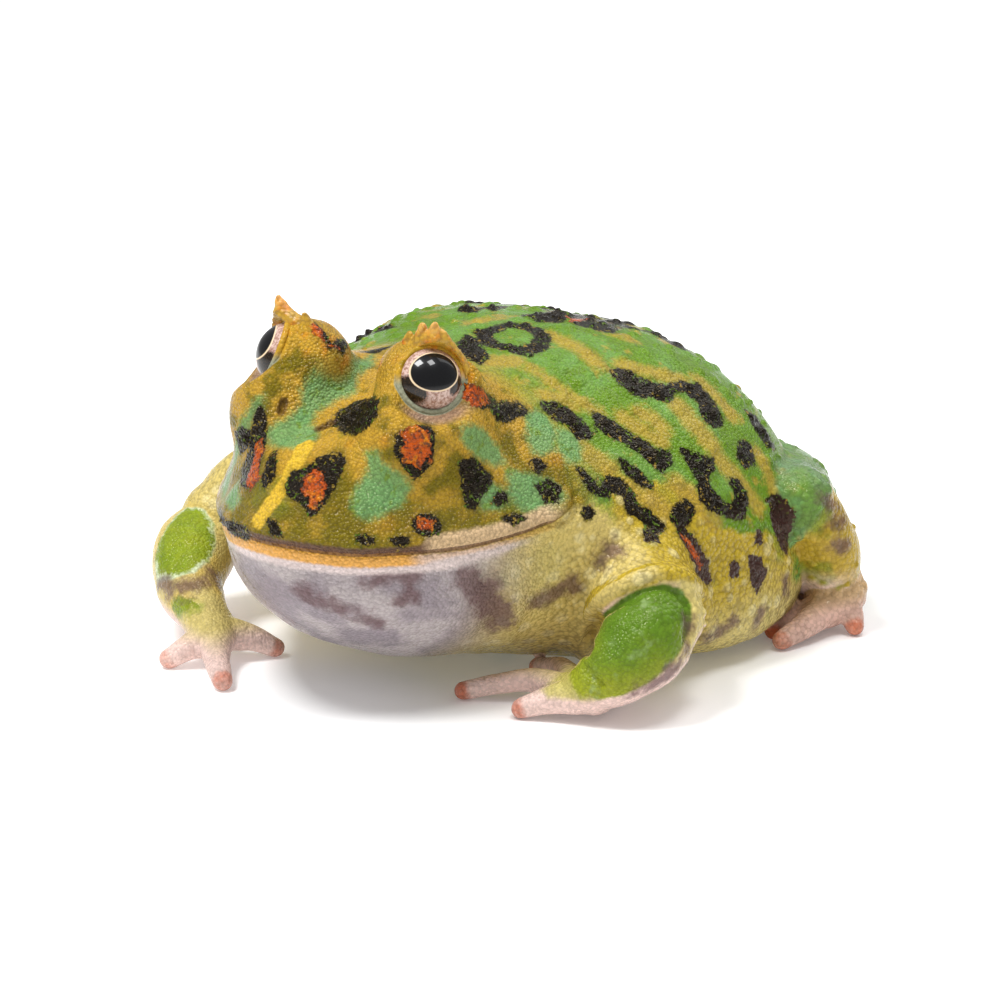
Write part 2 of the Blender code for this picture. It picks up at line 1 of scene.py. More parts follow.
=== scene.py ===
"""A Cranwell's horned frog at life size: its skin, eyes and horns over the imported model.

Lengths are in millimetres, turned into Blender's metres where a mesh is made. +Z is up,
the snout points towards -Y and the frog's own left is +X. The skin is one closed surface:
a body of superellipse rings, mounds, lids and limbs, blended on a voxel grid and then
raised into lips, folds and warts. Its markings are outlines laid on it from the camera,
kept as signed distances at its vertices.
"""

import math

import bmesh
import bpy
import numpy as np
from mathutils import Matrix, Vector
from mathutils.bvhtree import BVHTree


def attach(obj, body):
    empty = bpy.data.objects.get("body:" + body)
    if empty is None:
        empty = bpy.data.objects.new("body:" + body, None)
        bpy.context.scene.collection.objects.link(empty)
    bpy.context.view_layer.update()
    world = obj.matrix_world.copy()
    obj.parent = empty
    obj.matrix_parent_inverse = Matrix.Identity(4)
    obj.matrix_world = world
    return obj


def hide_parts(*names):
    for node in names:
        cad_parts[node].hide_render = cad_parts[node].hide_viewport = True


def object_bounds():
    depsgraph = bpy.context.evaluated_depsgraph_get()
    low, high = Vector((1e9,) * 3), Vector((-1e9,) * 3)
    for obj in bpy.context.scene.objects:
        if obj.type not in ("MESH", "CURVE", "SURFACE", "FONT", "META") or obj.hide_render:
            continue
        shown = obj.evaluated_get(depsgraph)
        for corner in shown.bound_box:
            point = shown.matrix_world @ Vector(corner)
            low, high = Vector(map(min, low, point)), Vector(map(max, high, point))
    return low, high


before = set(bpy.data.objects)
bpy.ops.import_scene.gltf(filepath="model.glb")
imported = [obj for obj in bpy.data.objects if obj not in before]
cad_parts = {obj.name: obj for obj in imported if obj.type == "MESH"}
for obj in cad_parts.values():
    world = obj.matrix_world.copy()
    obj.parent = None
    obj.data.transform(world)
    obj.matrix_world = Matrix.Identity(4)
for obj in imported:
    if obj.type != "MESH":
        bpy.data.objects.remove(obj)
frame_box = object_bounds()

MM = 0.001

# The frog's own sizes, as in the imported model, before it is stood on the origin
SNOUT = -50.0
VENT = 54.0
NECK = -14.5
BELLY_SINK = 0.5
EYE_RADIUS = 5.5
EYE_AT = np.array([12.6, -27.8, 49.5])
EYE_LOOKS = (50.0, 24.0)
LID_RADIUS = 7.0
LID_SET_BACK = 2.5
MOUND_AT = np.array([12.6, -26.5, 41.5])
MOUND_RADII = np.array([9.2, 13.5, 11.6])
PUPIL_PIXEL = (436.0, 370.2)  # middle of the left pupil in the picture
PUPIL_HALF = (3.5, 2.85)      # half width and half height of a pupil
RING_LIFT = 0.35              # how far a lid's rim lies out from where lid and ball meet
RING_RADIUS = 4.85
RING_THICK = 0.5
RIM_SLOPE = 0.45              # rise of the lid outwards from its rim
LID_OVER = 0.4                # depth of lid skin over the ball
EYE_BEHIND = 0.8              # how far the skin inside a rim lies behind the ball's surface
# Crest of skin over each eye, inner end first
BROW = [(5.2, -27.2, 50.8), (7.6, -27.5, 52.9), (10.4, -27.6, 54.1), (13.4, -27.4, 54.3),
        (16.6, -26.2, 52.6), (19.0, -24.5, 50.4)]
BROW_RADII = (1.7, 2.0, 2.0, 2.0, 1.9, 1.6)
# Peaks of a horn: foot, tip, radius at the foot and at the tip
HORN_PEAKS = [
    ((13.2, -26.9, 52.4), (14.6, -28.4, 58.6), 3.6, 0.45),
    ((16.2, -25.6, 51.4), (15.2, -27.4, 56.9), 2.4, 0.8),
    ((8.9, -27.3, 50.8), (9.8, -28.0, 56.5), 2.8, 0.5),
    ((9.8, -27.8, 54.0), (14.2, -28.0, 56.2), 1.5, 1.5),
]
LEFT_PEAK = ((11.2, -27.2, 52.4), (12.4, -28.5, 58.3), 2.9, 0.5)   # on the left horn alone
# Rings of the trunk: y, half width, top, bottom, height of the middle, power above and below
STATIONS = np.array([
    [SNOUT, 0.0, 30.0, 24.5, 27.5, 2.0, 2.0],
    [-48.5, 7.6, 33.0, 21.0, 27.5, 2.0, 2.0],
    [-45.0, 13.1, 37.0, 16.5, 27.3, 1.9, 2.1],
    [-40.0, 18.1, 40.5, 12.0, 27.0, 1.85, 2.1],
    [-33.0, 23.1, 44.0, 7.2, 26.8, 1.8, 2.1],
    [-25.0, 27.5, 46.6, 4.2, 26.2, 1.75, 2.2],
    [-15.0, 32.5, 48.8, 2.4, 24.0, 1.8, 2.3],
    [-7.0, 36.5, 49.8, 0.8, 19.5, 1.8, 2.7],
    [1.0, 41.0, 50.1, 0.0, 15.0, 1.9, 3.8],
    [15.0, 45.8, 50.2, -BELLY_SINK, 11.5, 2.1, 4.7],
    [30.0, 44.2, 47.2, -BELLY_SINK, 11.0, 2.25, 4.2],
    [42.0, 36.0, 38.5, 0.0, 11.0, 2.15, 3.2],
    [50.0, 21.5, 26.0, 1.5, 11.5, 2.0, 2.4],
    [VENT, 0.0, 15.0, 9.0, 12.0, 2.0, 2.0],
])
MOUTH_ENDS = (-56.0, -12.0)
# Line of the mouth from the side: y and height
MOUTH = np.array([
    [-56.0, 28.4], [-50.0, 28.0], [-44.0, 27.2], [-33.0, 27.1],
    [-25.0, 27.9], [-20.0, 29.0], [-16.5, 30.4], [-12.0, 31.8],
])
# Soft rises of the head and trunk: place, spread and height
RELIEF = [
    (0.0, -31.0, 45.0, 5.0, -1.4), (0.0, -40.0, 40.5, 4.0, 0.5),
    (10.0, -36.5, 42.5, 2.6, 1.3), (7.2, -41.5, 40.0, 2.2, 1.1),
    (4.5, -44.0, 38.2, 1.9, 0.7), (15.0, -37.0, 36.5, 3.6, -0.9),
    (20.5, -29.5, 40.5, 4.0, 1.6), (14.5, -20.5, 47.5, 4.4, 2.6),
    (25.0, -17.0, 39.0, 4.6, 1.0), (30.5, -12.5, 29.5, 4.0, 1.3),
    (37.5, 2.0, 26.0, 8.0, 1.8), (22.0, 2.0, 47.0, 8.0, 0.8),
    (24.0, 18.0, 46.5, 8.0, 0.8), (0.0, 8.0, 51.0, 6.0, -0.7),
    (0.0, 24.0, 49.5, 6.0, -0.6),
]
LIP = 0.75                    # how far the lips stand out
JAW_INSET = 0.7
# Limbs: points along the middle, and the radius at each
LIMBS = {
    "left_upper_arm": ([(28, 0, 16), (36, -5.8, 16.4), (40.8, -10.2, 15.4)], (11.5, 9.2, 8.0)),
    "left_forearm": ([(43.2, -10.5, 14.5), (43.1, -15.5, 11.5), (41, -19.6, 8),
                      (37.6, -21.8, 5)], (6.4, 7.0, 5.6, 3.8)),
    "right_upper_arm": ([(-28.5, 0, 20), (-35, -7.5, 19), (-38.8, -13.8, 15.6)],
                        (11.5, 9.4, 7.0)),
    "right_forearm": ([(-40.6, -14.8, 13.6), (-39.7, -20, 12), (-34.7, -27.2, 8.8),
                       (-27, -33, 6)], (5.6, 6.6, 5.5, 3.8)),
    "left_thigh": ([(18, 41, 14), (32, 38.5, 17), (42.4, 29.5, 21.8)], (13.0, 11.4, 6.6)),
    "left_shank": ([(44.2, 31, 20.3), (45.6, 34.2, 14.5), (45, 37.2, 8)], (5.1, 5.5, 5.0)),
}
# Palms or soles and digits, given like the limbs
LEFT_HAND = [
    ([(38, -21, 4.4), (33.5, -20.4, 3.4)], (3.6, 3.0)),
    ([(33.5, -20.8, 3.6), (26.5, -19.8, 3.4), (21, -22.6, 2.4), (17.2, -25.2, 1.4)],
     (2.6, 1.9, 1.55, 1.45)),
    ([(36, -22.8, 3.8), (32.5, -24.6, 2.9), (28.8, -26.7, 1.5)], (2.9, 2.1, 1.55)),
    ([(33.5, -19, 3.6), (26.5, -12.4, 3), (20.6, -10.2, 1.4)], (2.6, 1.8, 1.45)),
    ([(38, -19.5, 3.6), (37.6, -13, 2.2), (36.2, -8.6, 1.4)], (2.8, 1.8, 1.45)),
]
RIGHT_HAND = [
    ([(-26.6, -32.6, 5.2), (-23.6, -35.2, 4.2)], (3.9, 3.5)),
    ([(-24, -34.4, 4.4), (-26.6, -38, 3), (-28.4, -40, 1.5)], (3.0, 2.1, 1.65)),
    ([(-23.5, -34.8, 4.4), (-20.2, -38.6, 3.2), (-15.3, -42.9, 1.5)], (3.0, 2.2, 1.65)),
    ([(-24.4, -33, 4.6), (-21, -29.4, 3.4), (-18.2, -26.6, 1.5)], (3.0, 2.1, 1.55)),
    ([(-26.5, -32, 4.4), (-29, -27.6, 2.4), (-30.6, -24.6, 1.4)], (2.9, 1.9, 1.45)),
]
LEFT_FOOT = [
    ([(47, 37.6, 5.4), (46.6, 33.5, 4)], (4.3, 3.4)),
    ([(45, 38, 3.8), (43.6, 41.2, 2.4), (42.6, 43.6, 1.4)], (2.8, 1.9, 1.45)),
    ([(45.4, 35.8, 3.6), (41.6, 33.2, 2.3), (39.4, 30.6, 1.3)], (2.8, 1.8, 1.35)),
    ([(45.6, 34, 3.8), (42.8, 29, 2.3), (41.6, 25.4, 1.3)], (2.8, 1.8, 1.35)),
    ([(46.6, 33.6, 4), (46.5, 27.8, 2.9), (45.3, 21.9, 1.5)], (3.1, 2.2, 1.55)),
    ([(48, 36.6, 4), (50.2, 35.6, 2.8), (51.4, 34.6, 1.5)], (3.0, 2.0, 1.55)),
]

# How finely the skin is made
BODY_RINGS = 90
BODY_SIDES = 90
COARSE = 0.7                  # voxel pitch while the body is blended
MOUND_ROUNDS = 110
LID_ROUNDS = 12
LIMB_ROUNDS = 3               # rounds of smoothing, here and above
SHOULDER_ROUNDS = 90
FINE = 0.42                   # voxel pitch of the finished skin
SKIN_TRIANGLES = 192000

# The camera that took the picture, in the frog's own frame
CAMERA_TARGET = np.array([0.0, 9.0, 20.0])
CAMERA_TURN = 35.0            # degrees round the frog, from straight ahead
CAMERA_HEIGHT = 17.0          # degrees above the floor
CAMERA_AWAY = 520.0
FOCAL_PIXELS = 3232.0
PICTURE = 1000.0              # pixels along a side

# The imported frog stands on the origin, so its own frame lies this far along Y from it
STAND = np.array([0.0, frame_box[1][1] / MM - VENT, 0.0])

# The markings, as pixels of the picture. An outline is a closed shape; a streak is a line
# of a given half width in millimetres.
SPOTS = {
    # dark patches with a red or orange middle: the outline, then the middle
    "snout_spot": ([(285, 480), (292, 470), (306, 468), (321, 456), (334, 451), (346, 456),
                    (345, 467), (340, 482), (334, 494), (326, 503), (316, 516), (307, 518),
                    (303, 505), (293, 500), (285, 494)],
                   [(303, 479), (314, 467), (323, 472), (327, 482), (321, 497), (314, 508),
                    (308, 516), (305, 512), (308, 500), (302, 493)]),
    "cheek_spot": ([(394, 434), (404, 429), (418, 424), (430, 425), (436, 432), (436, 449),
                    (432, 464), (424, 475), (415, 480), (404, 470), (395, 456), (392, 444)],
                   [(404, 432), (416, 427), (429, 429), (429, 444), (432, 456), (423, 466),
                    (414, 469), (408, 463), (405, 449)]),
    "lip_spot": ([(412, 518), (422, 512), (436, 514), (444, 526), (438, 535), (424, 539),
                  (410, 530)],
                 [(415, 519), (428, 515), (436, 525), (428, 532), (417, 530)]),
    "far_snout_spot": ([(262, 405), (268, 418), (266, 440), (262, 462), (258, 482), (250, 490),
                        (240, 486), (240, 470), (247, 450), (252, 428), (256, 410)],
                       [(246, 479), (252, 464), (256, 444), (262, 436), (261, 455), (257, 478),
                        (250, 487)]),
    "behind_eye_spot": ([(462, 382), (472, 385), (484, 390), (494, 397), (499, 407), (484, 410),
                         (471, 407), (464, 398)],
                        [(461, 381), (472, 386), (483, 392), (491, 401), (480, 408), (470, 406),
                         (462, 398)]),
    "flank_spot": ([(673, 510), (681, 512), (687, 528), (697, 540), (706, 556), (713, 580),
                    (704, 586), (695, 570), (686, 548), (678, 535)],
                   [(680, 534), (688, 538), (697, 552), (702, 566), (698, 568), (689, 549)]),
    "brow_streak": ([(311, 321), (321, 329), (332, 342), (347, 348), (337, 352), (324, 343),
                     (313, 332)],
                    [(310, 322), (316, 328), (326, 342), (338, 349), (328, 346), (314, 334)]),
    "skyline_spot": ([(562, 312), (580, 308), (600, 309), (618, 316), (627, 326), (614, 334),
                      (592, 330), (572, 324)],
                     [(564, 317), (577, 314), (589, 320), (584, 328), (571, 324)]),
}
DARKS = {
    "before_eye": [(333, 425), (338, 414), (347, 408), (358, 402), (370, 399), (377, 403),
                   (376, 415), (367, 426), (357, 433), (347, 432), (339, 428)],
    "over_cheek": [(458, 346), (468, 337), (478, 341), (486, 359), (480, 364), (468, 358)],
    "beside_eye": [(491, 408), (503, 403), (518, 403), (527, 411), (518, 417), (503, 421),
                   (496, 418)],
    "cheek_mark": [(461, 463), (470, 459), (480, 466), (491, 478), (484, 487), (478, 497),
                   (475, 508), (469, 506), (464, 490)],
    "band_end": [(540, 403), (556, 404), (574, 412), (588, 427), (592, 437), (578, 436),
                 (566, 422), (551, 417)],
    "back_band": [(611, 369), (620, 370), (641, 379), (655, 384), (669, 386), (684, 382),
                  (698, 386), (708, 396), (718, 410), (722, 424), (714, 426), (704, 417),
                  (699, 402), (688, 391), (672, 390), (671, 401), (655, 396), (634, 393),
                  (620, 383)],
    "side_band": [(594, 413), (606, 417), (624, 430), (643, 441), (656, 449), (669, 452),
                  (670, 464), (661, 471), (645, 457), (629, 444), (610, 434), (597, 425)],
    "side_bar": [(620, 460), (628, 463), (640, 473), (652, 487), (643, 486), (630, 475)],
    "low_bar": [(578, 470), (588, 476), (600, 490), (607, 478), (620, 479), (630, 492),
                (638, 508), (650, 513), (664, 527), (657, 532), (643, 520), (630, 512),
                (622, 496), (612, 490), (604, 497), (590, 488)],
    "low_drop": [(643, 531), (654, 533), (658, 541), (648, 541)],
    "fork": [(682, 451), (694, 455), (700, 460), (712, 459), (712, 470), (706, 478), (711, 492),
             (722, 502), (734, 506), (737, 496), (730, 480), (738, 482), (747, 500), (743, 517),
             (728, 516), (712, 510), (701, 500), (698, 482), (690, 466)],
    "belly_bar": [(676, 507), (686, 500), (693, 508), (688, 524), (679, 528), (672, 518)],
    "rear_mark": [(767, 500), (776, 496), (786, 504), (790, 524), (787, 552), (781, 545),
                  (774, 524)],
    "rear_drop": [(751, 557), (760, 560), (765, 574), (759, 590), (753, 583)],
    "rear_dot": [(757, 532), (761, 532), (761, 543), (757, 543)],
    "rear_dot_b": [(733, 564), (739, 564), (738, 576), (732, 574)],
    "top_warts": [(353, 345), (362, 339), (371, 335), (368, 343), (358, 348)],
    "top_warts_d": [(374, 334), (383, 327), (392, 321), (394, 328), (383, 336)],
    "top_warts_b": [(458, 311), (470, 306), (478, 309), (474, 313)],
    "top_warts_c": [(484, 308), (492, 301), (503, 299), (506, 306), (494, 311)],
    "between_eyes": [(330, 346), (345, 343), (353, 342), (356, 349), (342, 352)],
    "between_eyes_b": [(361, 346), (378, 343), (387, 348), (376, 353), (361, 352)],
    "rim_mark": [(524, 316), (540, 313), (560, 312), (569, 318), (558, 323), (538, 321)],
    "edge_mark": [(745, 412), (755, 416), (766, 432), (774, 447), (765, 446), (754, 430)],
    "edge_mark_b": [(739, 443), (748, 444), (754, 462), (745, 466), (738, 456)],
    "far_snout": [(262, 489), (266, 470), (272, 455), (276, 452), (274, 470), (268, 485)],
    "far_edge": [(231, 449), (236, 434), (243, 430), (251, 434), (246, 446), (240, 452)],
    "dot_a": [(497, 494), (503, 495), (506, 500), (500, 504), (495, 500)],
    "dot_b": [(535, 459), (542, 460), (545, 466), (539, 470), (533, 466)],
    "dot_c": [(538, 484), (550, 482), (558, 489), (556, 500), (546, 500), (540, 492)],
    "dot_d": [(583, 508), (590, 508), (592, 515), (586, 518), (581, 514)],
    "lip_dot_a": [(505, 518), (515, 516), (525, 519), (514, 523)],
    "lip_dot_b": [(358, 537), (366, 535), (372, 540), (362, 544)],
    "lip_dot_c": [(393, 540), (404, 537), (410, 541), (400, 546)],
    "lip_dot_d": [(268, 520), (275, 524), (279, 534), (272, 533)],
    "lip_dot_e": [(219, 512), (224, 520), (238, 527), (248, 530), (244, 537), (230, 533),
                  (220, 524)],
}
LOOPS = {
    # a dark loop round a green middle
    "loop": (2.0, [(476, 333), (490, 329), (508, 324), (524, 325), (540, 329), (550, 337),
                   (545, 349), (530, 357), (514, 353), (498, 349), (484, 345)]),
}
GREENS = {
    "between_the_eyes": [(373, 354), (352, 360), (319, 365), (309, 379), (300, 392), (303, 405),
                         (287, 418), (268, 427), (263, 438), (278, 448), (298, 449), (316, 440),
                         (317, 430), (309, 422), (322, 408), (348, 396), (357, 390), (357, 379),
                         (373, 362)],
    "under_eye": [(366, 453), (376, 451), (384, 462), (403, 475), (411, 487), (403, 503),
                  (378, 519), (360, 518), (351, 506), (356, 488), (368, 472)],
    "cheek_teal": [(462, 425), (474, 423), (486, 432), (498, 447), (506, 462), (496, 466),
                   (482, 460), (470, 452), (462, 440)],
    "cheek_lime": [(478, 486), (490, 482), (503, 492), (504, 506), (492, 512), (478, 508)],
    "eardrum": [(524, 414), (536, 410), (548, 418), (556, 434), (553, 450), (541, 457),
                (530, 450), (526, 434)],
    "behind_eardrum": [(557, 428), (570, 430), (582, 442), (580, 462), (566, 464), (558, 450)],
    "far_snout_green": [(240, 425), (250, 408), (262, 396), (262, 408), (250, 430), (240, 448),
                        (232, 470), (226, 490), (222, 500), (222, 484), (230, 452)],
    "far_snout_low": [(228, 470), (238, 480), (240, 500), (232, 510), (224, 500)],
    "cheek_low": [(506, 470), (530, 474), (552, 480), (566, 498), (550, 512), (522, 510),
                  (508, 496)],
}
OCHRES = {
    "over_band": (1.0, [(622, 365), (640, 370), (662, 375), (684, 380)]),
    "under_band": (1.5, [(678, 406), (690, 420), (703, 434), (712, 446)]),
    "by_side_band": (1.0, [(622, 416), (640, 428), (661, 442)]),
    "behind_ear": (1.5, [(573, 440), (590, 454), (610, 468)]),
    "neck_line": (0.7, [(529, 368), (557, 387), (581, 403), (600, 412)]),
    "upper_line": (1.1, [(545, 333), (572, 345), (597, 364)]),
    "low_line": (1.3, [(634, 486), (652, 500), (668, 514)]),
    "rear_line": (1.2, [(714, 454), (735, 476), (759, 508)]),
    "high_rear_line": (1.1, [(698, 380), (716, 396), (732, 416)]),
    "edge_line": (1.0, [(757, 454), (768, 474), (777, 500)]),
    "in_fork": (1.2, [(676, 484), (694, 500), (716, 520)]),
    "skyline_line": (0.8, [(664, 342), (680, 346), (692, 352)]),
    "skyline_dot": (0.8, [(618, 336), (632, 341)]),
    "over_loop": (0.7, [(470, 324), (486, 321), (503, 319)]),
    "behind_lid": (1.4, [(487, 361), (502, 362), (515, 362)]),
    "band_gap": (1.0, [(545, 395), (560, 398), (572, 404)]),
    "throat_line": (1.0, [(640, 412), (652, 418), (664, 430)]),
}
PURPLES = {
    # soft purple-brown marks of the throat and jaw
    "chin_a": (1.7, [(306, 592), (318, 599), (332, 604)]),
    "chin_b": (1.3, [(344, 608), (362, 614), (381, 624)]),
    "chin_c": (1.0, [(366, 582), (380, 580), (395, 577), (412, 573)]),
    "chin_d": (0.9, [(404, 600), (416, 598)]),
    "jowl_a": (2.2, [(466, 576), (484, 588), (494, 606), (500, 622)]),
    "jowl_b": (1.6, [(540, 600), (556, 594), (572, 586)]),
    "flank_a": (1.4, [(606, 560), (616, 552)]),
    "flank_b": (1.5, [(706, 634), (722, 629), (732, 624)]),
    "flank_c": (1.1, [(756, 622), (762, 614)]),
    "flank_d": (1.2, [(784, 592), (785, 580)]),
    "shank_a": (0.9, [(822, 500), (832, 506)]),
    "shank_b": (0.9, [(832, 520), (842, 522)]),
    "shank_c": (1.0, [(834, 548), (846, 546)]),
    "arm_band": (1.2, [(690, 620), (688, 645), (676, 668), (656, 684), (636, 692)]),
    "far_arm_band": (1.5, [(158, 584), (172, 588), (190, 588), (206, 582), (218, 576)]),
}
LIMES = {
    "far_arm_lime": [(170, 602), (178, 597), (192, 598), (205, 606), (206, 618), (192, 624),
                     (180, 620), (172, 612)],
    "far_arm_green": [(155, 560), (160, 538), (172, 520), (188, 508), (202, 510), (212, 524),
                      (214, 545), (206, 562), (190, 572), (172, 576), (158, 576)],
}
LIPS = {
    "pale": [(430, 560), (425, 536), (450, 522), (500, 508), (545, 494), (572, 496), (574, 512),
             (556, 536), (520, 552), (470, 562)],
}
JOWLS = {
    "left": [(505, 560), (530, 538), (552, 520), (572, 500), (594, 505), (640, 545), (655, 575),
             (620, 592), (596, 612), (575, 645), (530, 650), (512, 610)],
}
FOREARMS = {
    "left": [(541, 690), (560, 672), (579, 664), (583, 642), (594, 622), (608, 609), (625, 597),
             (642, 587), (667, 584), (683, 590), (692, 605), (692, 622), (687, 638), (679, 654),
             (664, 672), (645, 686), (625, 695), (600, 700), (570, 700), (548, 698)],
    "right": [(155, 570), (158, 545), (168, 524), (186, 508), (204, 508), (214, 524), (216, 545),
              (208, 562), (196, 574), (172, 580), (157, 584)],
}
# Folds of skin: rise and spread in millimetres, and the line they follow
FOLDS = {
    "sleeve": (1.3, 1.2, [(584, 654), (581, 634), (591, 613), (605, 599), (623, 587), (642, 577),
                          (664, 573), (686, 579), (700, 594), (705, 614), (700, 636)]),
    "under_sleeve": (-1.3, 0.75, [(588, 650), (588, 636), (599, 619), (612, 607), (629, 596),
                                  (646, 588), (666, 585), (682, 591), (690, 603), (692, 620),
                                  (689, 636)]),
    "mouth_corner": (0.7, 0.6, [(566, 494), (568, 505), (563, 514), (553, 520)]),
    "behind_corner": (-0.6, 0.45, [(574, 494), (576, 507), (570, 517), (559, 525)]),
    "under_corner": (0.6, 0.6, [(549, 533), (566, 528), (578, 516), (582, 500)]),
    "elbow": (-0.8, 0.45, [(580, 660), (585, 669), (592, 678), (600, 686)]),
    "throat": (0.6, 1.5, [(500, 566), (512, 590), (514, 614), (506, 640)]),
    "throat_hollow": (-0.6, 1.6, [(486, 580), (496, 602), (496, 626)]),
}
NOSTRILS = {
    "left": (0.42, [(319, 429), (326, 426), (333, 422)]),
    "right": (0.36, [(281, 411), (284, 402)]),
}
NOSTRIL_DEPTH = 0.8
STRIPE = (1.25, [(306, 446), (296, 462), (288, 480), (279, 492), (268, 505), (258, 520)])
FAR = -4.0                    # what a field holds well outside every mark
# Where the green of the back ends on the flank: y and height
BACK_EDGE = np.array([[-60.0, 30.0], [-20.0, 31.0], [-8.0, 33.0], [10.0, 24.0],
                      [25.0, 14.0], [40.0, 10.0], [60.0, 8.0]])
HIDDEN_FROM = 7.0             # a mark farther left than this gets a twin on the right
TRUNK_MIDDLE = np.array([0.0, 16.0, 22.0])
RUMP_TURNS = (128.0, 246.0, 25.0)     # degrees round from straight ahead, from, to and step


# Formulas

def smooth(xs, ys, x):
    """Monotone cubic through the points (xs, ys), read at x."""
    step = np.diff(xs)
    slope = np.diff(ys) / step
    rising = slope[:-1] * slope[1:] > 0
    before = np.where(rising, slope[:-1], 1.0)
    after = np.where(rising, slope[1:], 1.0)
    near = step[:-1] + 2 * step[1:]
    far = 2 * step[:-1] + step[1:]
    inner = np.where(rising, (near + far) / (near / before + far / after), 0.0)
    tangent = np.concatenate([slope[:1], inner, slope[-1:]])
    i = np.clip(np.searchsorted(xs, x) - 1, 0, len(step) - 1)
    t = (x - xs[i]) / step[i]
    rise = t * (1 - t) ** 2 * step[i] * tangent[i]
    fall = t * t * (t - 1) * step[i] * tangent[i + 1]
    return (1 + 2 * t) * (1 - t) ** 2 * ys[i] + rise + t * t * (3 - 2 * t) * ys[i + 1] + fall


def fade(low, high, x):
    """0 below low, 1 above high, smooth between."""
    t = np.clip((x - low) / (high - low), 0.0, 1.0)
    return t * t * (3 - 2 * t)


def bell(distance, spread):
    """Bell curve of height 1."""
    return np.exp(-0.5 * (distance / spread) ** 2)


def direction(sideways, up):
    """Unit vector for angles in degrees from straight ahead (-Y)."""
    a, e = math.radians(sideways), math.radians(up)
    return np.array([math.sin(a) * math.cos(e), -math.cos(a) * math.cos(e), math.sin(e)])


def sided(point, side):
    """A point given for the left side, on either side."""
    return np.asarray(point, float) * np.array([side, 1.0, 1.0])


def mirrored(stretches):
    """Paths and radii of limbs given for the left side, on the right side."""
    return [([sided(point, -1) for point in path], radii) for path, radii in stretches]


def eye_axis(side):
    """Where an eye looks: side is 1 for the left and -1 for the right."""
    return direction(side * EYE_LOOKS[0], EYE_LOOKS[1])


def lid_centre(side):
    """Centre of the ball that an eyelid is part of."""
    return sided(EYE_AT, side) - LID_SET_BACK * eye_axis(side)


def rim_centre(side):
    """Centre of the ring where the lid's ball meets the eyeball."""
    reach = (LID_RADIUS ** 2 - EYE_RADIUS ** 2 - LID_SET_BACK ** 2) / (2 * LID_SET_BACK)
    return sided(EYE_AT, side) + (reach + RING_LIFT) * eye_axis(side)


def hashed(cells, seed):
    """Three numbers from 0 to 1 for each whole-numbered cell, always the same ones."""
    a, b, c = (cells[..., k].astype(np.int64) for k in range(3))
    mixed = (a * 73856093) ^ (b * 19349663) ^ (c * 83492791) ^ (seed * 2654435761)
    out = []
    for k in range(3):
        mixed = (mixed ^ (mixed >> 13)) * 1274126177 + k * 40503
        mixed = mixed & 0xFFFFFFFF
        out.append((mixed % 65521) / 65521.0)
    return np.stack(out, axis=-1)


def lumps(points, size, seed):
    """Smooth noise from -1 to 1: cell corners hold hashed values, blended between them."""
    where = points / size
    base = np.floor(where)
    t = where - base
    t = t * t * (3 - 2 * t)
    total = np.zeros(len(points))
    for corner in np.ndindex(2, 2, 2):
        weight = np.prod(np.where(corner, t, 1 - t), axis=-1)
        total += weight * hashed(base + np.array(corner), seed)[:, 0]
    return 2 * total - 1


def warts(points, size, seed):
    """Distance to the nearest of a scatter of points, one in each cell, and its own number."""
    base = np.floor(points / size)
    nearest = np.full(len(points), 9e9)
    number = np.zeros(len(points))
    for step in np.ndindex(3, 3, 3):
        cell = base + np.array(step) - 1
        random = hashed(cell, seed)
        away = np.linalg.norm(points - (cell + random) * size, axis=-1)
        closer = away < nearest
        nearest = np.where(closer, away, nearest)
        number = np.where(closer, hashed(cell + 17, seed + 1)[:, 1], number)
    return nearest, number


# Meshes

def grid_normals(grid):
    """Outward normals of rings of points that run round an axis along +Y."""
    along = np.gradient(grid, axis=0)
    around = np.roll(grid, -1, axis=1) - np.roll(grid, 1, axis=1)
    normal = np.cross(along, around)
    return normal / (np.linalg.norm(normal, axis=-1, keepdims=True) + 1e-9)


def outward(name, points, faces):
    """Closed mesh of points in millimetres, its faces turned outwards."""
    mesh = bpy.data.meshes.new(name)
    mesh.from_pydata((points * MM).tolist(), [], faces)
    shape = bmesh.new()
    shape.from_mesh(mesh)
    bmesh.ops.recalc_face_normals(shape, faces=shape.faces)
    shape.to_mesh(mesh)
    shape.free()
    return mesh


def closed_rings(name, rings):
    """Closed mesh of rings of points whose first and last rings are single points.

    Vertex k of ring i joins vertex k and k + 1 of the next ring in one quad.
    """
    count, sides = rings.shape[:2]
    points = np.concatenate([rings[:1, 0], rings[1:-1].reshape(-1, 3), rings[-1:, 0]])
    last = len(points) - 1
    j = np.arange(sides)
    k = (j + 1) % sides
    a = 1 + np.arange(count - 3)[:, None] * sides
    quads = np.stack([a + j, a + k, a + sides + k, a + sides + j], axis=-1).reshape(-1, 4)
    first = np.stack([np.zeros_like(j), 1 + k, 1 + j], axis=-1)
    end = np.stack([np.full_like(j, last), last - sides + j, last - sides + k], axis=-1)
    return outward(name, points, first.tolist() + end.tolist() + quads.tolist())


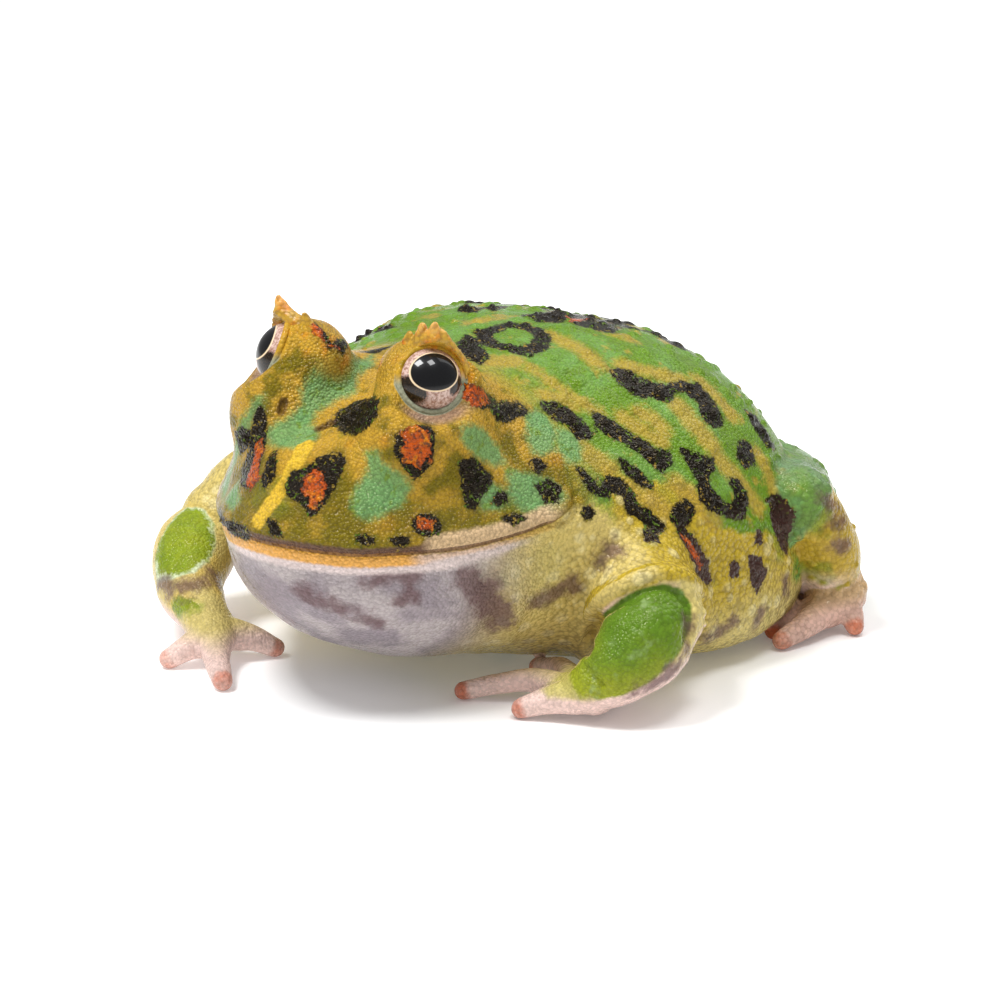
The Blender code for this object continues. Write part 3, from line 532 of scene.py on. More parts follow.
def body_mesh():
    """The bare body. Each ring is a superellipse whose half width and half heights come
    from STATIONS: x = w sgn(cos v) |cos v|^(2/p), z = m + h sgn(sin v) |sin v|^(2/p).
    RELIEF then moves it along its normals.
    """
    t = np.arange(1, BODY_RINGS) / BODY_RINGS
    y = SNOUT + (VENT - SNOUT) * (1 - np.cos(math.pi * t)) / 2
    column = STATIONS.T

    def read(values):
        return smooth(column[0], values, y)[:, None]

    width = np.sqrt(read(column[1] ** 2))
    level = read(column[4])
    height_up = np.sqrt(read((column[2] - column[4]) ** 2))
    height_down = np.sqrt(read((column[4] - column[3]) ** 2))
    even = np.arange(BODY_SIDES) * math.tau / BODY_SIDES
    v = even - 0.22 * np.sin(2 * even)
    cosine, sine = np.cos(v)[None], np.sin(v)[None]
    power = np.where(sine >= 0, 2 / read(column[5]), 2 / read(column[6]))
    height = np.where(sine >= 0, height_up, height_down)
    x = width * np.sign(cosine) * np.abs(cosine) ** power
    z = level + height * np.sign(sine) * np.abs(sine) ** power
    rings = np.stack([x, np.broadcast_to(y[:, None], x.shape), z], axis=-1)
    normals = grid_normals(rings)
    rise = np.zeros(rings.shape[:2])
    for bx, by, bz, spread, amount in RELIEF:
        for side in ((1,) if bx == 0 else (1, -1)):
            away = np.linalg.norm(rings - np.array([side * bx, by, bz]), axis=-1)
            rise = rise + amount * bell(away, spread)
    rings = rings + normals * rise[..., None]
    shape = (1, BODY_SIDES, 3)
    front = np.broadcast_to([0.0, SNOUT, 27.5], shape)
    back = np.broadcast_to([0.0, VENT, 12.0], shape)
    return closed_rings("body", np.concatenate([front, rings, back]))


def egg_mesh(name, centre, radii, sides=48, rings=28):
    """Ball stretched along the axes: centre + radii times the unit sphere by two angles."""
    v = np.linspace(0, math.pi, rings + 1)
    u = np.arange(sides) * math.tau / sides
    ball = np.stack([
        np.sin(v)[:, None] * np.cos(u),
        np.sin(v)[:, None] * np.sin(u),
        np.broadcast_to(np.cos(v)[:, None], (rings + 1, sides)),
    ], axis=-1)
    return closed_rings(name, np.asarray(centre, float) + ball * np.asarray(radii, float))


def limb_mesh(name, path, radii, rings=30, sides=28):
    """A tube along a smooth path through points, its radius smooth between those given,
    with half a ball at each end.
    """
    path = np.asarray(path, float)
    steps = np.linalg.norm(np.diff(path, axis=0), axis=1)
    walked = np.concatenate([[0.0], np.cumsum(steps)])
    t = np.linspace(0.0, walked[-1], rings)
    centre = np.stack([smooth(walked, path[:, k], t) for k in range(3)], axis=-1)
    ahead = np.gradient(centre, axis=0)
    ahead /= np.linalg.norm(ahead, axis=1, keepdims=True)
    radius = smooth(walked, np.asarray(radii, float), t)
    turn = np.linspace(0.0, 0.9, 6) * math.pi / 2
    start = centre[0] - ahead[0] * (radius[0] * np.cos(turn))[:, None]
    end = centre[-1] + ahead[-1] * (radius[-1] * np.cos(turn[::-1]))[:, None]
    centre = np.concatenate([start, centre, end])
    ahead = np.concatenate([np.repeat(ahead[:1], 6, 0), ahead, np.repeat(ahead[-1:], 6, 0)])
    radius = np.concatenate([radius[0] * np.sin(turn), radius, radius[-1] * np.sin(turn[::-1])])
    side = np.cross(ahead, [0.0, 0.0, 1.0]) + np.array([1e-4, 0.0, 0.0])
    side /= np.linalg.norm(side, axis=1, keepdims=True)
    up = np.cross(side, ahead)
    v = np.arange(sides) * math.tau / sides
    circle = side[:, None] * np.cos(v)[None, :, None] + up[:, None] * np.sin(v)[None, :, None]
    return closed_rings(name, centre[:, None] + radius[:, None, None] * circle)


def ring_mesh(name, centre, axis, radius, thick, around=72, across=14):
    """Closed round ring about an axis: the rim of an eyelid."""
    axis = np.asarray(axis, float)
    side = np.cross(axis, [0.0, 0.0, 1.0])
    side /= np.linalg.norm(side)
    up = np.cross(side, axis)
    u = np.arange(around) * math.tau / around
    v = np.arange(across) * math.tau / across
    out = side * np.cos(u)[:, None] + up * np.sin(u)[:, None]
    reach = radius + thick * np.cos(v)
    points = centre + out[:, None] * reach[None, :, None]
    points = points + axis * (thick * np.sin(v))[None, :, None]
    i = np.arange(around)[:, None] * across
    n = np.roll(i, -1, axis=0)
    j = np.arange(across)
    k = (j + 1) % across
    faces = np.stack([i + j, i + k, n + k, n + j], axis=-1).reshape(-1, 4)
    return outward(name, points.reshape(-1, 3), faces.tolist())


def add_object(name, mesh):
    """New object for a mesh, shown in the scene."""
    obj = bpy.data.objects.new(name, mesh)
    bpy.context.scene.collection.objects.link(obj)
    return obj


def joined(meshes):
    """One mesh that holds several closed surfaces."""
    shape = bmesh.new()
    for mesh in meshes:
        shape.from_mesh(mesh)
    result = bpy.data.meshes.new("joined")
    shape.to_mesh(result)
    shape.free()
    return result


def with_modifiers(mesh, settings):
    """The mesh after a few modifiers, each given as its type and its settings."""
    obj = add_object("modified", mesh)
    for kind, values in settings:
        modifier = obj.modifiers.new(kind.lower(), kind)
        for key, value in values.items():
            setattr(modifier, key, value)
    view = bpy.context.evaluated_depsgraph_get()
    view.update()
    result = bpy.data.meshes.new_from_object(obj.evaluated_get(view))
    bpy.data.objects.remove(obj, do_unlink=True)
    return result


def blended(meshes, pitch, rounds):
    """Closed surfaces fused into one on a voxel grid, with their creases smoothed."""
    return with_modifiers(joined(meshes), [
        ("REMESH", {"mode": "VOXEL", "voxel_size": pitch * MM}),
        ("SMOOTH", {"factor": 0.5, "iterations": rounds}),
    ])


def vertex_arrays(mesh):
    """Places of a mesh's vertices in millimetres, and their normals."""
    places = np.empty(len(mesh.vertices) * 3, np.float32)
    mesh.vertices.foreach_get("co", places)
    normals = np.empty(len(mesh.vertices) * 3, np.float32)
    mesh.vertex_normals.foreach_get("vector", normals)
    return places.reshape(-1, 3).astype(float) / MM, normals.reshape(-1, 3).astype(float)


def set_places(mesh, places):
    """Put a mesh's vertices at places in millimetres."""
    mesh.vertices.foreach_set("co", (places * MM).astype(np.float32).ravel())
    mesh.update()


def store(mesh, name, values):
    """Keep one number at each vertex, under a name that a material reads."""
    attribute = mesh.attributes.new(name, "FLOAT", "POINT")
    attribute.data.foreach_set("value", np.asarray(values, np.float32))


# The camera, and laying the picture's outlines on the skin

def camera_axes():
    """The camera's place and its right, up and forward directions, in the frog's frame."""
    turn, height = math.radians(CAMERA_TURN), math.radians(CAMERA_HEIGHT)
    back = np.array([
        math.sin(turn) * math.cos(height),
        -math.cos(turn) * math.cos(height),
        math.sin(height),
    ])
    right = np.array([math.cos(turn), math.sin(turn), 0.0])
    return CAMERA_TARGET + back * CAMERA_AWAY, right, np.cross(back, right), -back


def pixel_ray(across, down):
    """Direction in which the camera sees a pixel."""
    _, right, up, ahead = camera_axes()
    return (ahead + right * (across - PICTURE / 2) / FOCAL_PIXELS
            - up * (down - PICTURE / 2) / FOCAL_PIXELS)


class Picture:
    """Carries pixels of the picture onto the skin."""

    def __init__(self, mesh):
        places = vertex_arrays(mesh)[0]
        mesh.calc_loop_triangles()
        corners = np.empty(len(mesh.loop_triangles) * 3, np.int32)
        mesh.loop_triangles.foreach_get("vertices", corners)
        self.tree = BVHTree.FromPolygons(places.tolist(), corners.reshape(-1, 3).tolist())
        self.place, _, _, self.ahead = camera_axes()

    def from_within(self, turns):
        """Points of the skin that lie at given angles from the middle of the trunk."""
        hits = [self.tree.ray_cast(Vector(TRUNK_MIDDLE), Vector(direction(*turn)))[0]
                for turn in turns]
        return np.array([hit for hit in hits if hit is not None])

    def on_skin(self, pixels):
        """Places and normals of the skin at pixels.

        A pixel is left out where it misses the frog, or hits it much nearer or farther
        away than the middle one does.
        """
        places, normals = [], []
        for pixel in pixels:
            ray = Vector(pixel_ray(*pixel))
            hit, normal, _, _ = self.tree.ray_cast(Vector(self.place), ray)
            if hit is not None:
                places.append(hit)
                normals.append(normal)
        places, normals = np.array(places), np.array(normals)
        if len(places) < 2:
            return places, normals
        depth = places @ self.ahead
        span = np.ptp(np.array(pixels), axis=0).max() * CAMERA_AWAY / FOCAL_PIXELS
        keep = np.abs(depth - np.median(depth)) < 1.3 * span + 1.0
        return places[keep], normals[keep]


# The skin's shape

def about_eye(places, side):
    """The eye's axis, the way from its middle to each place, and that way's length along
    the axis and across it."""
    axis = eye_axis(side)
    away = places - sided(EYE_AT, side)
    depth = away @ axis
    return axis, away, depth, np.linalg.norm(away - depth[:, None] * axis, axis=1)


def with_openings(places, margin=2.0):
    """The skin round each eye, pressed back along the eye's axis, out to past its rim.

    Inside the rim it goes behind the ball's surface, and beside the rim it stays under a
    cone that opens outwards from the rim.
    """
    for side in (1, -1):
        axis, _, depth, across = about_eye(places, side)
        plane = (rim_centre(side) - sided(EYE_AT, side)) @ axis
        beyond = fade(RING_RADIUS - 0.3, RING_RADIUS + 0.3, across)
        ball = np.sqrt(np.maximum(EYE_RADIUS ** 2 - across ** 2, 0.0))
        cone = plane + 0.1 + RIM_SLOPE * (across - RING_RADIUS)
        limit = (1 - beyond) * (ball - EYE_BEHIND) + beyond * cone
        hold = 1 - fade(RING_RADIUS + 0.6 * margin, RING_RADIUS + 1.6 * margin, across)
        excess = np.where(depth > 0, np.maximum(depth - limit, 0.0), 0.0)
        places = places - axis * (hold * excess)[:, None]
    return places


def with_lids(places):
    """Lid skin that sank into an eyeball beyond its rim, raised over the ball again."""
    for side in (1, -1):
        _, away, _, across = about_eye(places, side)
        beyond = fade(RING_RADIUS - 0.2, RING_RADIUS + 0.3, across)
        reach = np.linalg.norm(away, axis=1)
        short = np.maximum(EYE_RADIUS + LID_OVER - reach, 0.0) * (reach > 3.0)
        places = places + away / np.maximum(reach, 1.0)[:, None] * (short * beyond)[:, None]
    return places


def above_mouth(places):
    """Height over the line of the mouth."""
    y = np.clip(places[:, 1], *MOUTH_ENDS)
    return places[:, 2] - smooth(MOUTH[:, 0], MOUTH[:, 1], y)


def lip_relief(points):
    """Lips on both sides of the line of the mouth, and the jaw set back below it."""
    above = above_mouth(points)
    lips = LIP * bell(above - 1.4, 0.9) + 0.45 * LIP * bell(above + 2.0, 0.8)
    inset = JAW_INSET * (1 - fade(-0.8, 0.3, above)) * fade(-12.0, -4.0, above)
    return (lips - inset) * (1 - fade(-21.0, NECK, points[:, 1]))


def mouth_groove(points):
    """A narrow groove along the line of the mouth, deepest in front."""
    groove = -0.5 * bell(above_mouth(points) + 0.1, 0.32)
    return groove * (1 - fade(-18.0, NECK, points[:, 1]))


# Warts: how far apart they lie, in millimetres, and the seed of their scatter
PEBBLES = (2.9, 9)
BLISTERS = (1.5, 5)
HORN_GRAINS = (0.8, 31)
BLISTER_HIGH, PEBBLE_HIGH, HORN_GRAIN_HIGH = 0.6, 0.45, 0.12


def pebble_shape(places):
    """Round low warts of many sizes, 1 at their tops."""
    near, number = warts(places, *PEBBLES)
    return np.maximum(1 - (near / (0.6 + 0.8 * number)) ** 2, 0.0)


def fold_relief(places, normals, picture):
    """Ridges and hollows of skin along the lines of FOLDS, and the slits of the nostrils."""
    marks = Markings(picture, places, normals)
    rise = np.zeros(len(places))
    for height, spread, line in FOLDS.values():
        rise += height * bell(marks.streaks([(0.0, line)]), spread)
    return rise - NOSTRIL_DEPTH * fade(-0.3, 0.3, marks.streaks(NOSTRILS.values(), mirror=False))


def wart_relief(places, normals, picture):
    """Warts of several sizes: blisters on the black marks, low pebbles on the flanks."""
    y, z = places[:, 1], places[:, 2]
    dark = fade(-0.2, 0.8, Markings(picture, places, normals).dark())
    trunk = fade(-16.0, -8.0, y) * fade(3.0, 8.0, z)
    near, number = warts(places, *BLISTERS)
    blisters = BLISTER_HIGH * dark * (0.4 + number) * np.maximum(1 - (near / 0.8) ** 2, 0.0)
    pebbles = PEBBLE_HIGH * trunk * pebble_shape(places)
    swell = 0.25 * lumps(places, 6.0, 21) + 0.12 * lumps(places, 2.6, 22)
    eyes = np.minimum(*[np.linalg.norm(places - sided(EYE_AT, side), axis=1)
                        for side in (1, -1)])
    return (blisters + pebbles + swell * fade(0.0, 3.0, z)) * fade(5.6, 7.5, eyes)


def softened(mesh, weight_at, rounds):
    """The mesh with each vertex drawn halfway to the mean of its neighbours, many times
    over, by the weight that it has from its place."""
    places = vertex_arrays(mesh)[0]
    ends = np.empty(len(mesh.edges) * 2, np.int32)
    mesh.edges.foreach_get("vertices", ends)
    a, b = ends.reshape(-1, 2).T
    count = np.bincount(a, minlength=len(places)) + np.bincount(b, minlength=len(places))
    weight = (0.5 * weight_at(places))[:, None]
    for _ in range(rounds):
        total = np.stack([
            np.bincount(a, places[b, k], len(places)) + np.bincount(b, places[a, k], len(places))
            for k in range(3)
        ], axis=-1)
        places = places + weight * (total / count[:, None] - places)
    set_places(mesh, places)
    return mesh


def shoulder_weight(places):
    """Most where the upper arms grow out of the trunk, none at the elbows."""
    away = np.linalg.norm((np.abs(places) - [36.0, 0.0, 22.0]) * [1.0, 0.0, 1.0], axis=1)
    along = places[:, 1]
    weight = bell(np.maximum(away - 7.0, 0.0), 5.0) * fade(-13.0, -8.0, along)
    return weight * (1 - fade(10.0, 16.0, along))


def limb_lengths():
    """Every limb by name, right ones included."""
    left = {name: LIMBS[f"left_{name}"] for name in ("thigh", "shank")}
    right = mirrored(left.values())
    return {**LIMBS, **{f"right_{name}": limb for name, limb in zip(left, right)}}


def ends_of_limbs():
    """The hands and feet, each as its stretches."""
    return LEFT_HAND, RIGHT_HAND, LEFT_FOOT, mirrored(LEFT_FOOT)


def skin_mesh():
    """One closed skin: the body with mounds and lids, its limbs, digits and lid rims.

    The parts are blended in turn, the thick ones with the most smoothing, then lips,
    folds and warts are raised along the normals.
    """
    mounds = [egg_mesh("mound", sided(MOUND_AT, side), MOUND_RADII) for side in (1, -1)]
    soft = blended([body_mesh(), *mounds], COARSE, MOUND_ROUNDS)
    lids = [egg_mesh("lid", lid_centre(side), [LID_RADIUS] * 3) for side in (1, -1)]
    brows = [limb_mesh("brow", [sided(point, side) for point in BROW], BROW_RADII)
             for side in (1, -1)]
    soft = blended([soft, *lids, *brows], COARSE, LID_ROUNDS)
    places, normals = vertex_arrays(soft)
    places = places + normals * lip_relief(places)[:, None]
    set_places(soft, with_lids(with_openings(places)))
    limbs = limb_lengths()
    thick = [limb_mesh(n, *limbs[n]) for n in limbs if "thigh" in n or "upper" in n]
    thin = [limb_mesh(n, *limbs[n]) for n in limbs if "shank" in n or "forearm" in n]
    soft = blended([soft, *thick], COARSE, LIMB_ROUNDS)
    soft = softened(soft, shoulder_weight, SHOULDER_ROUNDS)
    digits = [limb_mesh("digit", *stretch) for end in ends_of_limbs() for stretch in end]
    rims = [ring_mesh("rim", rim_centre(side), eye_axis(side), RING_RADIUS, RING_THICK)
            for side in (1, -1)]
    body = blended([soft, *thin, *digits], FINE, 3)
    set_places(body, with_lids(with_openings(vertex_arrays(body)[0])))
    whole = joined([body, *rims])
    picture = Picture(whole)
    places, normals = vertex_arrays(whole)
    rise = (mouth_groove(places) + wart_relief(places, normals, picture)
            + fold_relief(places, normals, picture))
    places = places + normals * rise[:, None]
    places[:, 2] = np.maximum(places[:, 2], 0.0)
    set_places(whole, places)
    triangles = 2 * len(whole.polygons)
    result = with_modifiers(whole, [("DECIMATE", {"ratio": SKIN_TRIANGLES / triangles})])
    return result, picture


# Markings at the skin's vertices

def to_outline(flat, outline):
    """Distance of flat points to a closed outline, positive inside it."""
    a = outline
    b = np.roll(outline, -1, axis=0)
    nearest = np.full(len(flat), 9e9)
    inside = np.zeros(len(flat), bool)
    for (ax, ay), (bx, by) in zip(a, b):
        dx, dy = bx - ax, by - ay
        t = ((flat[:, 0] - ax) * dx + (flat[:, 1] - ay) * dy) / (dx * dx + dy * dy + 1e-9)
        t = np.clip(t, 0.0, 1.0)
        away = np.hypot(flat[:, 0] - ax - t * dx, flat[:, 1] - ay - t * dy)
        nearest = np.minimum(nearest, away)
        crosses = (ay > flat[:, 1]) != (by > flat[:, 1])
        at = ax + (flat[:, 1] - ay) * dx / (dy if abs(dy) > 1e-9 else 1e-9)
        inside ^= crosses & (flat[:, 0] < at)
    return np.where(inside, nearest, -nearest)


def to_line(points, line):
    """Distance of points in space to a line of straight stretches."""
    nearest = np.full(len(points), 9e9)
    for a, b in zip(line[:-1], line[1:]):
        step = b - a
        t = np.clip((points - a) @ step / (step @ step + 1e-9), 0.0, 1.0)
        nearest = np.minimum(nearest, np.linalg.norm(points - a - t[:, None] * step, axis=1))
    return nearest


class Markings:
    """Signed distances to groups of marks, in millimetres, at the vertices of a mesh."""

    def __init__(self, picture, places, normals):
        self.picture, self.places, self.normals = picture, places, normals

    def both(self, hits, normals, mirror):
        """The mark where the picture shows it, and its twin if the camera can't see that."""
        yield hits, normals
        if mirror and hits[:, 0].mean() > HIDDEN_FROM:
            twin = hits * [-1, 1, 1]
            faces = normals * [-1, 1, 1]
            if faces.mean(axis=0) @ -self.picture.ahead < 0.12:
                yield twin, faces

    def outlines(self, groups):
        """Field of closed shapes, each laid flat on the skin at its middle."""
        field = np.full(len(self.places), FAR)
        for pixels in groups:
            hits, normals = self.picture.on_skin(pixels)
            if len(hits) < 3:
                continue
            for where, faces in self.both(hits, normals, True):
                middle, axis = where.mean(axis=0), faces.mean(axis=0)
                axis = axis / np.linalg.norm(axis)
                side = np.cross(axis, [0.13, 0.21, 0.97])
                side /= np.linalg.norm(side)
                flat = np.stack([side, np.cross(axis, side)], axis=-1)
                outline = (where - middle) @ flat
                reach = np.linalg.norm(outline, axis=1).max() + 3.0
                away = self.places - middle
                near = np.linalg.norm(away, axis=1) < 1.3 * reach
                near &= (self.normals @ axis > 0.05) & (np.abs(away @ axis) < 0.6 * reach + 2)
                near = np.flatnonzero(near)
                value = to_outline(away[near] @ flat, outline)
                field[near] = np.maximum(field[near], value)
        return field

    def streaks(self, groups, mirror=True):
        """Field of lines of a half width."""
        field = np.full(len(self.places), FAR)
        for half, pixels in groups:
            hits, normals = self.picture.on_skin(pixels)
            if len(hits) < 2:
                continue
            for where, _ in self.both(hits, normals, mirror):
                near = np.linalg.norm(self.places - where.mean(axis=0), axis=1)
                reach = np.linalg.norm(where - where.mean(axis=0), axis=1).max() + half + 4.0
                near = np.flatnonzero(near < reach)
                value = half - to_line(self.places[near], where)
                field[near] = np.maximum(field[near], value)
        return field

    def dark(self):
        """Black marks and the loops."""
        field = self.outlines(DARKS.values())
        for rim, pixels in LOOPS.values():
            whole = self.outlines([pixels])
            field = np.maximum(field, np.minimum(whole, rim - whole))
        return field

    def rump(self, seed, lifts, half):
        """Guessed wavy bands on the rump and far flank, in rows at heights in degrees."""
        random = np.random.default_rng(seed)
        field = np.full(len(self.places), FAR)
        for lift in lifts:
            for turn in np.arange(*RUMP_TURNS) + random.uniform(-9, 9):
                drift = random.uniform(-7, 7, 4).cumsum()
                long = random.uniform(2.0, 5.0) / math.cos(math.radians(lift))
                line = self.picture.from_within([
                    (turn + long * k, lift + drift[k]) for k in range(4)])
                wide = half * random.uniform(0.7, 1.2)
                field = np.maximum(field, np.minimum(wide - to_line(self.places, line), 3.0))
        return field

    def spots(self):
        """The fields of the dark patches and of their red middles."""
        whole, middle = zip(*SPOTS.values())
        return self.outlines(whole), self.outlines(middle)


def near_limb(places, path, radii):
    """How far under the surface of a stretch a point is, from its path and radii."""
    path = np.asarray(path, float)
    best = np.full(len(places), -9e9)
    for a, b, ra, rb in zip(path[:-1], path[1:], radii[:-1], radii[1:]):
        step = b - a
        t = np.clip((places - a) @ step / (step @ step), 0.0, 1.0)
        away = np.linalg.norm(places - a - t[:, None] * step, axis=1)
        best = np.maximum(best, ra + (rb - ra) * t - away)
    return best


def store_regions(mesh, picture):
    """Keep the marks and the broad regions of colour at the skin's vertices."""
    places, normals = vertex_arrays(mesh)
    marks = Markings(picture, places, normals)
    store(mesh, "dark", np.maximum(marks.dark(), marks.rump(3, (60.0, 40.0, 20.0), 1.5)))
    store(mesh, "ochre", np.maximum(marks.streaks(OCHRES.values()),
                                    marks.rump(8, (50.0, 30.0), 1.0)))
    for name, field in zip(("spot", "ember"), marks.spots()):
        store(mesh, name, field)
    for name, shapes in (("green", GREENS), ("lime", LIMES), ("pale_lip", LIPS),
                         ("fore_green", FOREARMS), ("jowl", JOWLS)):
        store(mesh, name, marks.outlines(shapes.values()))
    store(mesh, "purple", marks.streaks(PURPLES.values()))
    store(mesh, "nostril", marks.streaks(NOSTRILS.values(), mirror=False))
    store(mesh, "stripe", marks.streaks([STRIPE], mirror=False))
    store(mesh, "pebble", pebble_shape(places))
    x, y, z = places.T
    over = above_mouth(places)
    below = 1 - fade(-2.0, 1.0, over)
    store(mesh, "under", 1 - fade(-0.45, 0.0, normals[:, 2]))
    store(mesh, "coarse", fade(-14.0, -4.0, y + 10 * below) * (1 - fade(22.0, 32.0, z)))
    store(mesh, "right", (x < 0).astype(float))
    store(mesh, "rear", fade(8.0, 14.0, y))
    face = 1 - fade(-18.0, -6.0, y - 0.1 * (z - 30.0))
    throat = below * (1 - fade(-28.0, -12.0, y + 0.25 * np.abs(x)))
    edge = smooth(BACK_EDGE[:, 0], BACK_EDGE[:, 1], np.clip(y, -60, 60))
    back = fade(-6.0, 6.0, z - edge + 6.0 * lumps(places, 9.0, 3) + 3.0 * lumps(places, 4.0, 4))
    store(mesh, "face", face * fade(-0.5, 0.5, over))
    store(mesh, "throat", throat)
    store(mesh, "back", back)
    store(mesh, "over", np.where(y < -11.0, over, 9.0))
    store(mesh, "lips", 1 - fade(-21.0, -17.0, y))
    store(mesh, "low", z)
    limbs = limb_lengths()
    for name in ("forearm", "thigh", "shank"):
        store(mesh, name, np.maximum(near_limb(places, *limbs[f"left_{name}"]),
                                     near_limb(places, *limbs[f"right_{name}"])))
    hand = np.full(len(places), -9.0)
    tip = np.full(len(places), 99.0)
    for end in ends_of_limbs():
        for path, radii in end:
            hand = np.maximum(hand, near_limb(places, path, radii))
        for path, _ in end[1:]:
            last = np.array(path[-1], float)
            tip = np.minimum(tip, np.linalg.norm(places - last, axis=1))
    store(mesh, "hand", hand)
    store(mesh, "tip", tip)
    lid = np.full(len(places), 99.0)
    brow = np.full(len(places), 99.0)
    for turned in (1, -1):
        away = places - rim_centre(turned)
        axis = eye_axis(turned)
        depth = away @ axis
        ring = np.linalg.norm(away - depth[:, None] * axis, axis=1) - RING_RADIUS
        lid = np.minimum(lid, np.hypot(ring, depth))
        crest = np.array([sided(point, turned) for point in BROW])
        brow = np.minimum(brow, to_line(places, crest))
    store(mesh, "lid", lid)
    store(mesh, "brow", brow)


# Materials

class Wire:
    """A node's output in an expression: an operator adds a Math node."""

    def __init__(self, maker, socket):
        self.maker, self.socket = maker, socket

    def math(self, operation, *others):
        """A Math node of this wire and others."""
        return self.maker.node("ShaderNodeMath", {"operation": operation},
                               dict(enumerate((self, *others))))

    def __add__(self, other):
        return self.math("ADD", other)

    def __sub__(self, other):
        return self.math("SUBTRACT", other)

    def __rsub__(self, other):
        return (self * -1.0) + other

    def __mul__(self, other):
        return self.math("MULTIPLY", other)

    def __truediv__(self, other):
        return self.math("DIVIDE", other)

    def most(self, other):
        return self.math("MAXIMUM", other)

    __radd__ = __add__
    __rmul__ = __mul__


class Maker:
    """A material's nodes."""

    def __init__(self, name):
        self.material = bpy.data.materials.new(name)
        self.material.use_nodes = True
        self.tree = self.material.node_tree
        self.shader = self.tree.nodes["Principled BSDF"]

    def feed(self, socket, value):
        """Give a socket a value or a link."""
        if isinstance(value, Wire):
            self.tree.links.new(value.socket, socket)
        elif isinstance(value, tuple) and len(value) == 3 and socket.type == "RGBA":
            socket.default_value = (*value, 1.0)
        else:
            socket.default_value = value

    def node(self, kind, settings=None, values=None, output=0):
        """A node of a type, its settings made first, then its sockets' values or links."""
        made = self.tree.nodes.new(kind)
        for key, value in (settings or {}).items():
            setattr(made, key, value)
        for key, value in (values or {}).items():
            self.feed(made.inputs[key], value)
        return Wire(self, made.outputs[output])

    def kept(self, name):
        """A number kept at the vertices."""
        return self.node("ShaderNodeAttribute", {"attribute_name": name}, output="Fac")

    def place(self):
        """Where a point is, in metres."""
        return self.node("ShaderNodeTexCoord", output="Object")

    def noise(self, size, detail=2.0, roughness=0.5):
        """Noise from 0 to 1 whose lumps are about size millimetres wide."""
        return self.node("ShaderNodeTexNoise", {"noise_dimensions": "3D"}, {
            "Vector": self.place(), "Scale": 1.0 / (size * MM), "Detail": detail,
            "Roughness": roughness})

    def cells(self, size, output="Distance"):
        """Voronoi cells about size millimetres wide."""
        return self.node("ShaderNodeTexVoronoi", None, {
            "Vector": self.place(), "Scale": 1.0 / (size * MM)}, output)

    def step(self, value, low, high, start=0.0, end=1.0):
        """start below low, end above high, smooth between."""
        return self.node("ShaderNodeMapRange", {"interpolation_type": "SMOOTHSTEP"}, {
            0: value, 1: low, 2: high, 3: start, 4: end})

    def mix(self, below, above, amount):
        """Colour above laid over colour below by an amount."""
        return self.node("ShaderNodeMix", {"data_type": "RGBA"},
                         {0: amount, 6: below, 7: above}, 2)

    def bump(self, height, distance, strength=1.0, normal=None):
        """A Bump node whose height of 1 stands distance millimetres high."""
        values = {"Height": height, "Distance": distance * MM, "Strength": strength}
        if normal is not None:
            values["Normal"] = normal
        return self.node("ShaderNodeBump", None, values)

    def finish(self, **values):
        """Feed the surface shader's sockets, named with _ for a space."""
        for key, value in values.items():
            self.feed(self.shader.inputs[key.replace("_", " ")], value)
        return self.material


def srgb(red, green, blue):
    """A colour given as 0 to 255, made linear."""
    out = []
    for value in (red, green, blue):
        value /= 255.0
        out.append(value / 12.92 if value <= 0.04045 else ((value + 0.055) / 1.055) ** 2.4)
    return tuple(out)


TAN = srgb(186, 146, 46)
OLIVE = srgb(116, 102, 18)
TEAL = srgb(106, 154, 94)
LEAF = srgb(98, 132, 28)
BACK_GREEN = srgb(98, 136, 30)
BACK_TEAL = srgb(108, 150, 66)
OCHRE = srgb(176, 146, 56)
FLANK = srgb(184, 158, 46)
FLANK_PALE = srgb(206, 188, 116)
CREAM = srgb(236, 226, 176)
ARM_GREEN = srgb(90, 124, 34)
# a pale green laid on the forearm as a painted sheen
ARM_PAINTED_SHEEN = srgb(150, 172, 120)
BROWN = srgb(62, 40, 36)
DARK_OLIVE = srgb(70, 66, 22)
THROAT = srgb(142, 132, 138)
THROAT_PALE = srgb(176, 166, 166)
PURPLE = srgb(98, 70, 74)
LIP_PALE = srgb(214, 182, 142)
LIP_DARK = srgb(92, 64, 58)
LIP_INSIDE = srgb(228, 160, 20)
LIP_EDGE = srgb(222, 204, 200)
STRIPE_YELLOW = srgb(218, 178, 52)
BLACK = srgb(16, 11, 7)
RED = srgb(184, 78, 22)
ORANGE = srgb(204, 124, 24)
LIME = srgb(154, 160, 38)
ARM_LIGHT = srgb(220, 230, 192)
THIGH_GREEN = srgb(106, 134, 92)
JOWL = srgb(208, 188, 116)
PINK = srgb(234, 204, 194)
HIND_FOOT_PINK = srgb(196, 150, 128)
TIP = srgb(196, 92, 44)
LID = srgb(150, 152, 128)
MAUVE = srgb(158, 128, 118)

# What the skin's vertices keep for its material
KEPT = ("dark", "spot", "ember", "ochre", "green", "lime", "pale_lip", "fore_green", "jowl",
        "purple", "nostril", "stripe", "pebble", "under", "coarse", "right", "rear", "face",
        "throat", "back", "over", "lips", "low", "forearm", "thigh", "shank", "hand", "tip",
        "lid", "brow")
GRAINS = (0.46, 0.72)         # millimetres across, on fine and on coarse skin
# colour of the painted shade laid in the gaps between grains
GAP_SHADE = (0.03, 0.02, 0.01)
SKIN_ROUGH = (0.12, 0.25)
SKIN_SHINE = 0.2
SKIN_SHEEN = (1.0, 0.86, 0.66, 1.0)


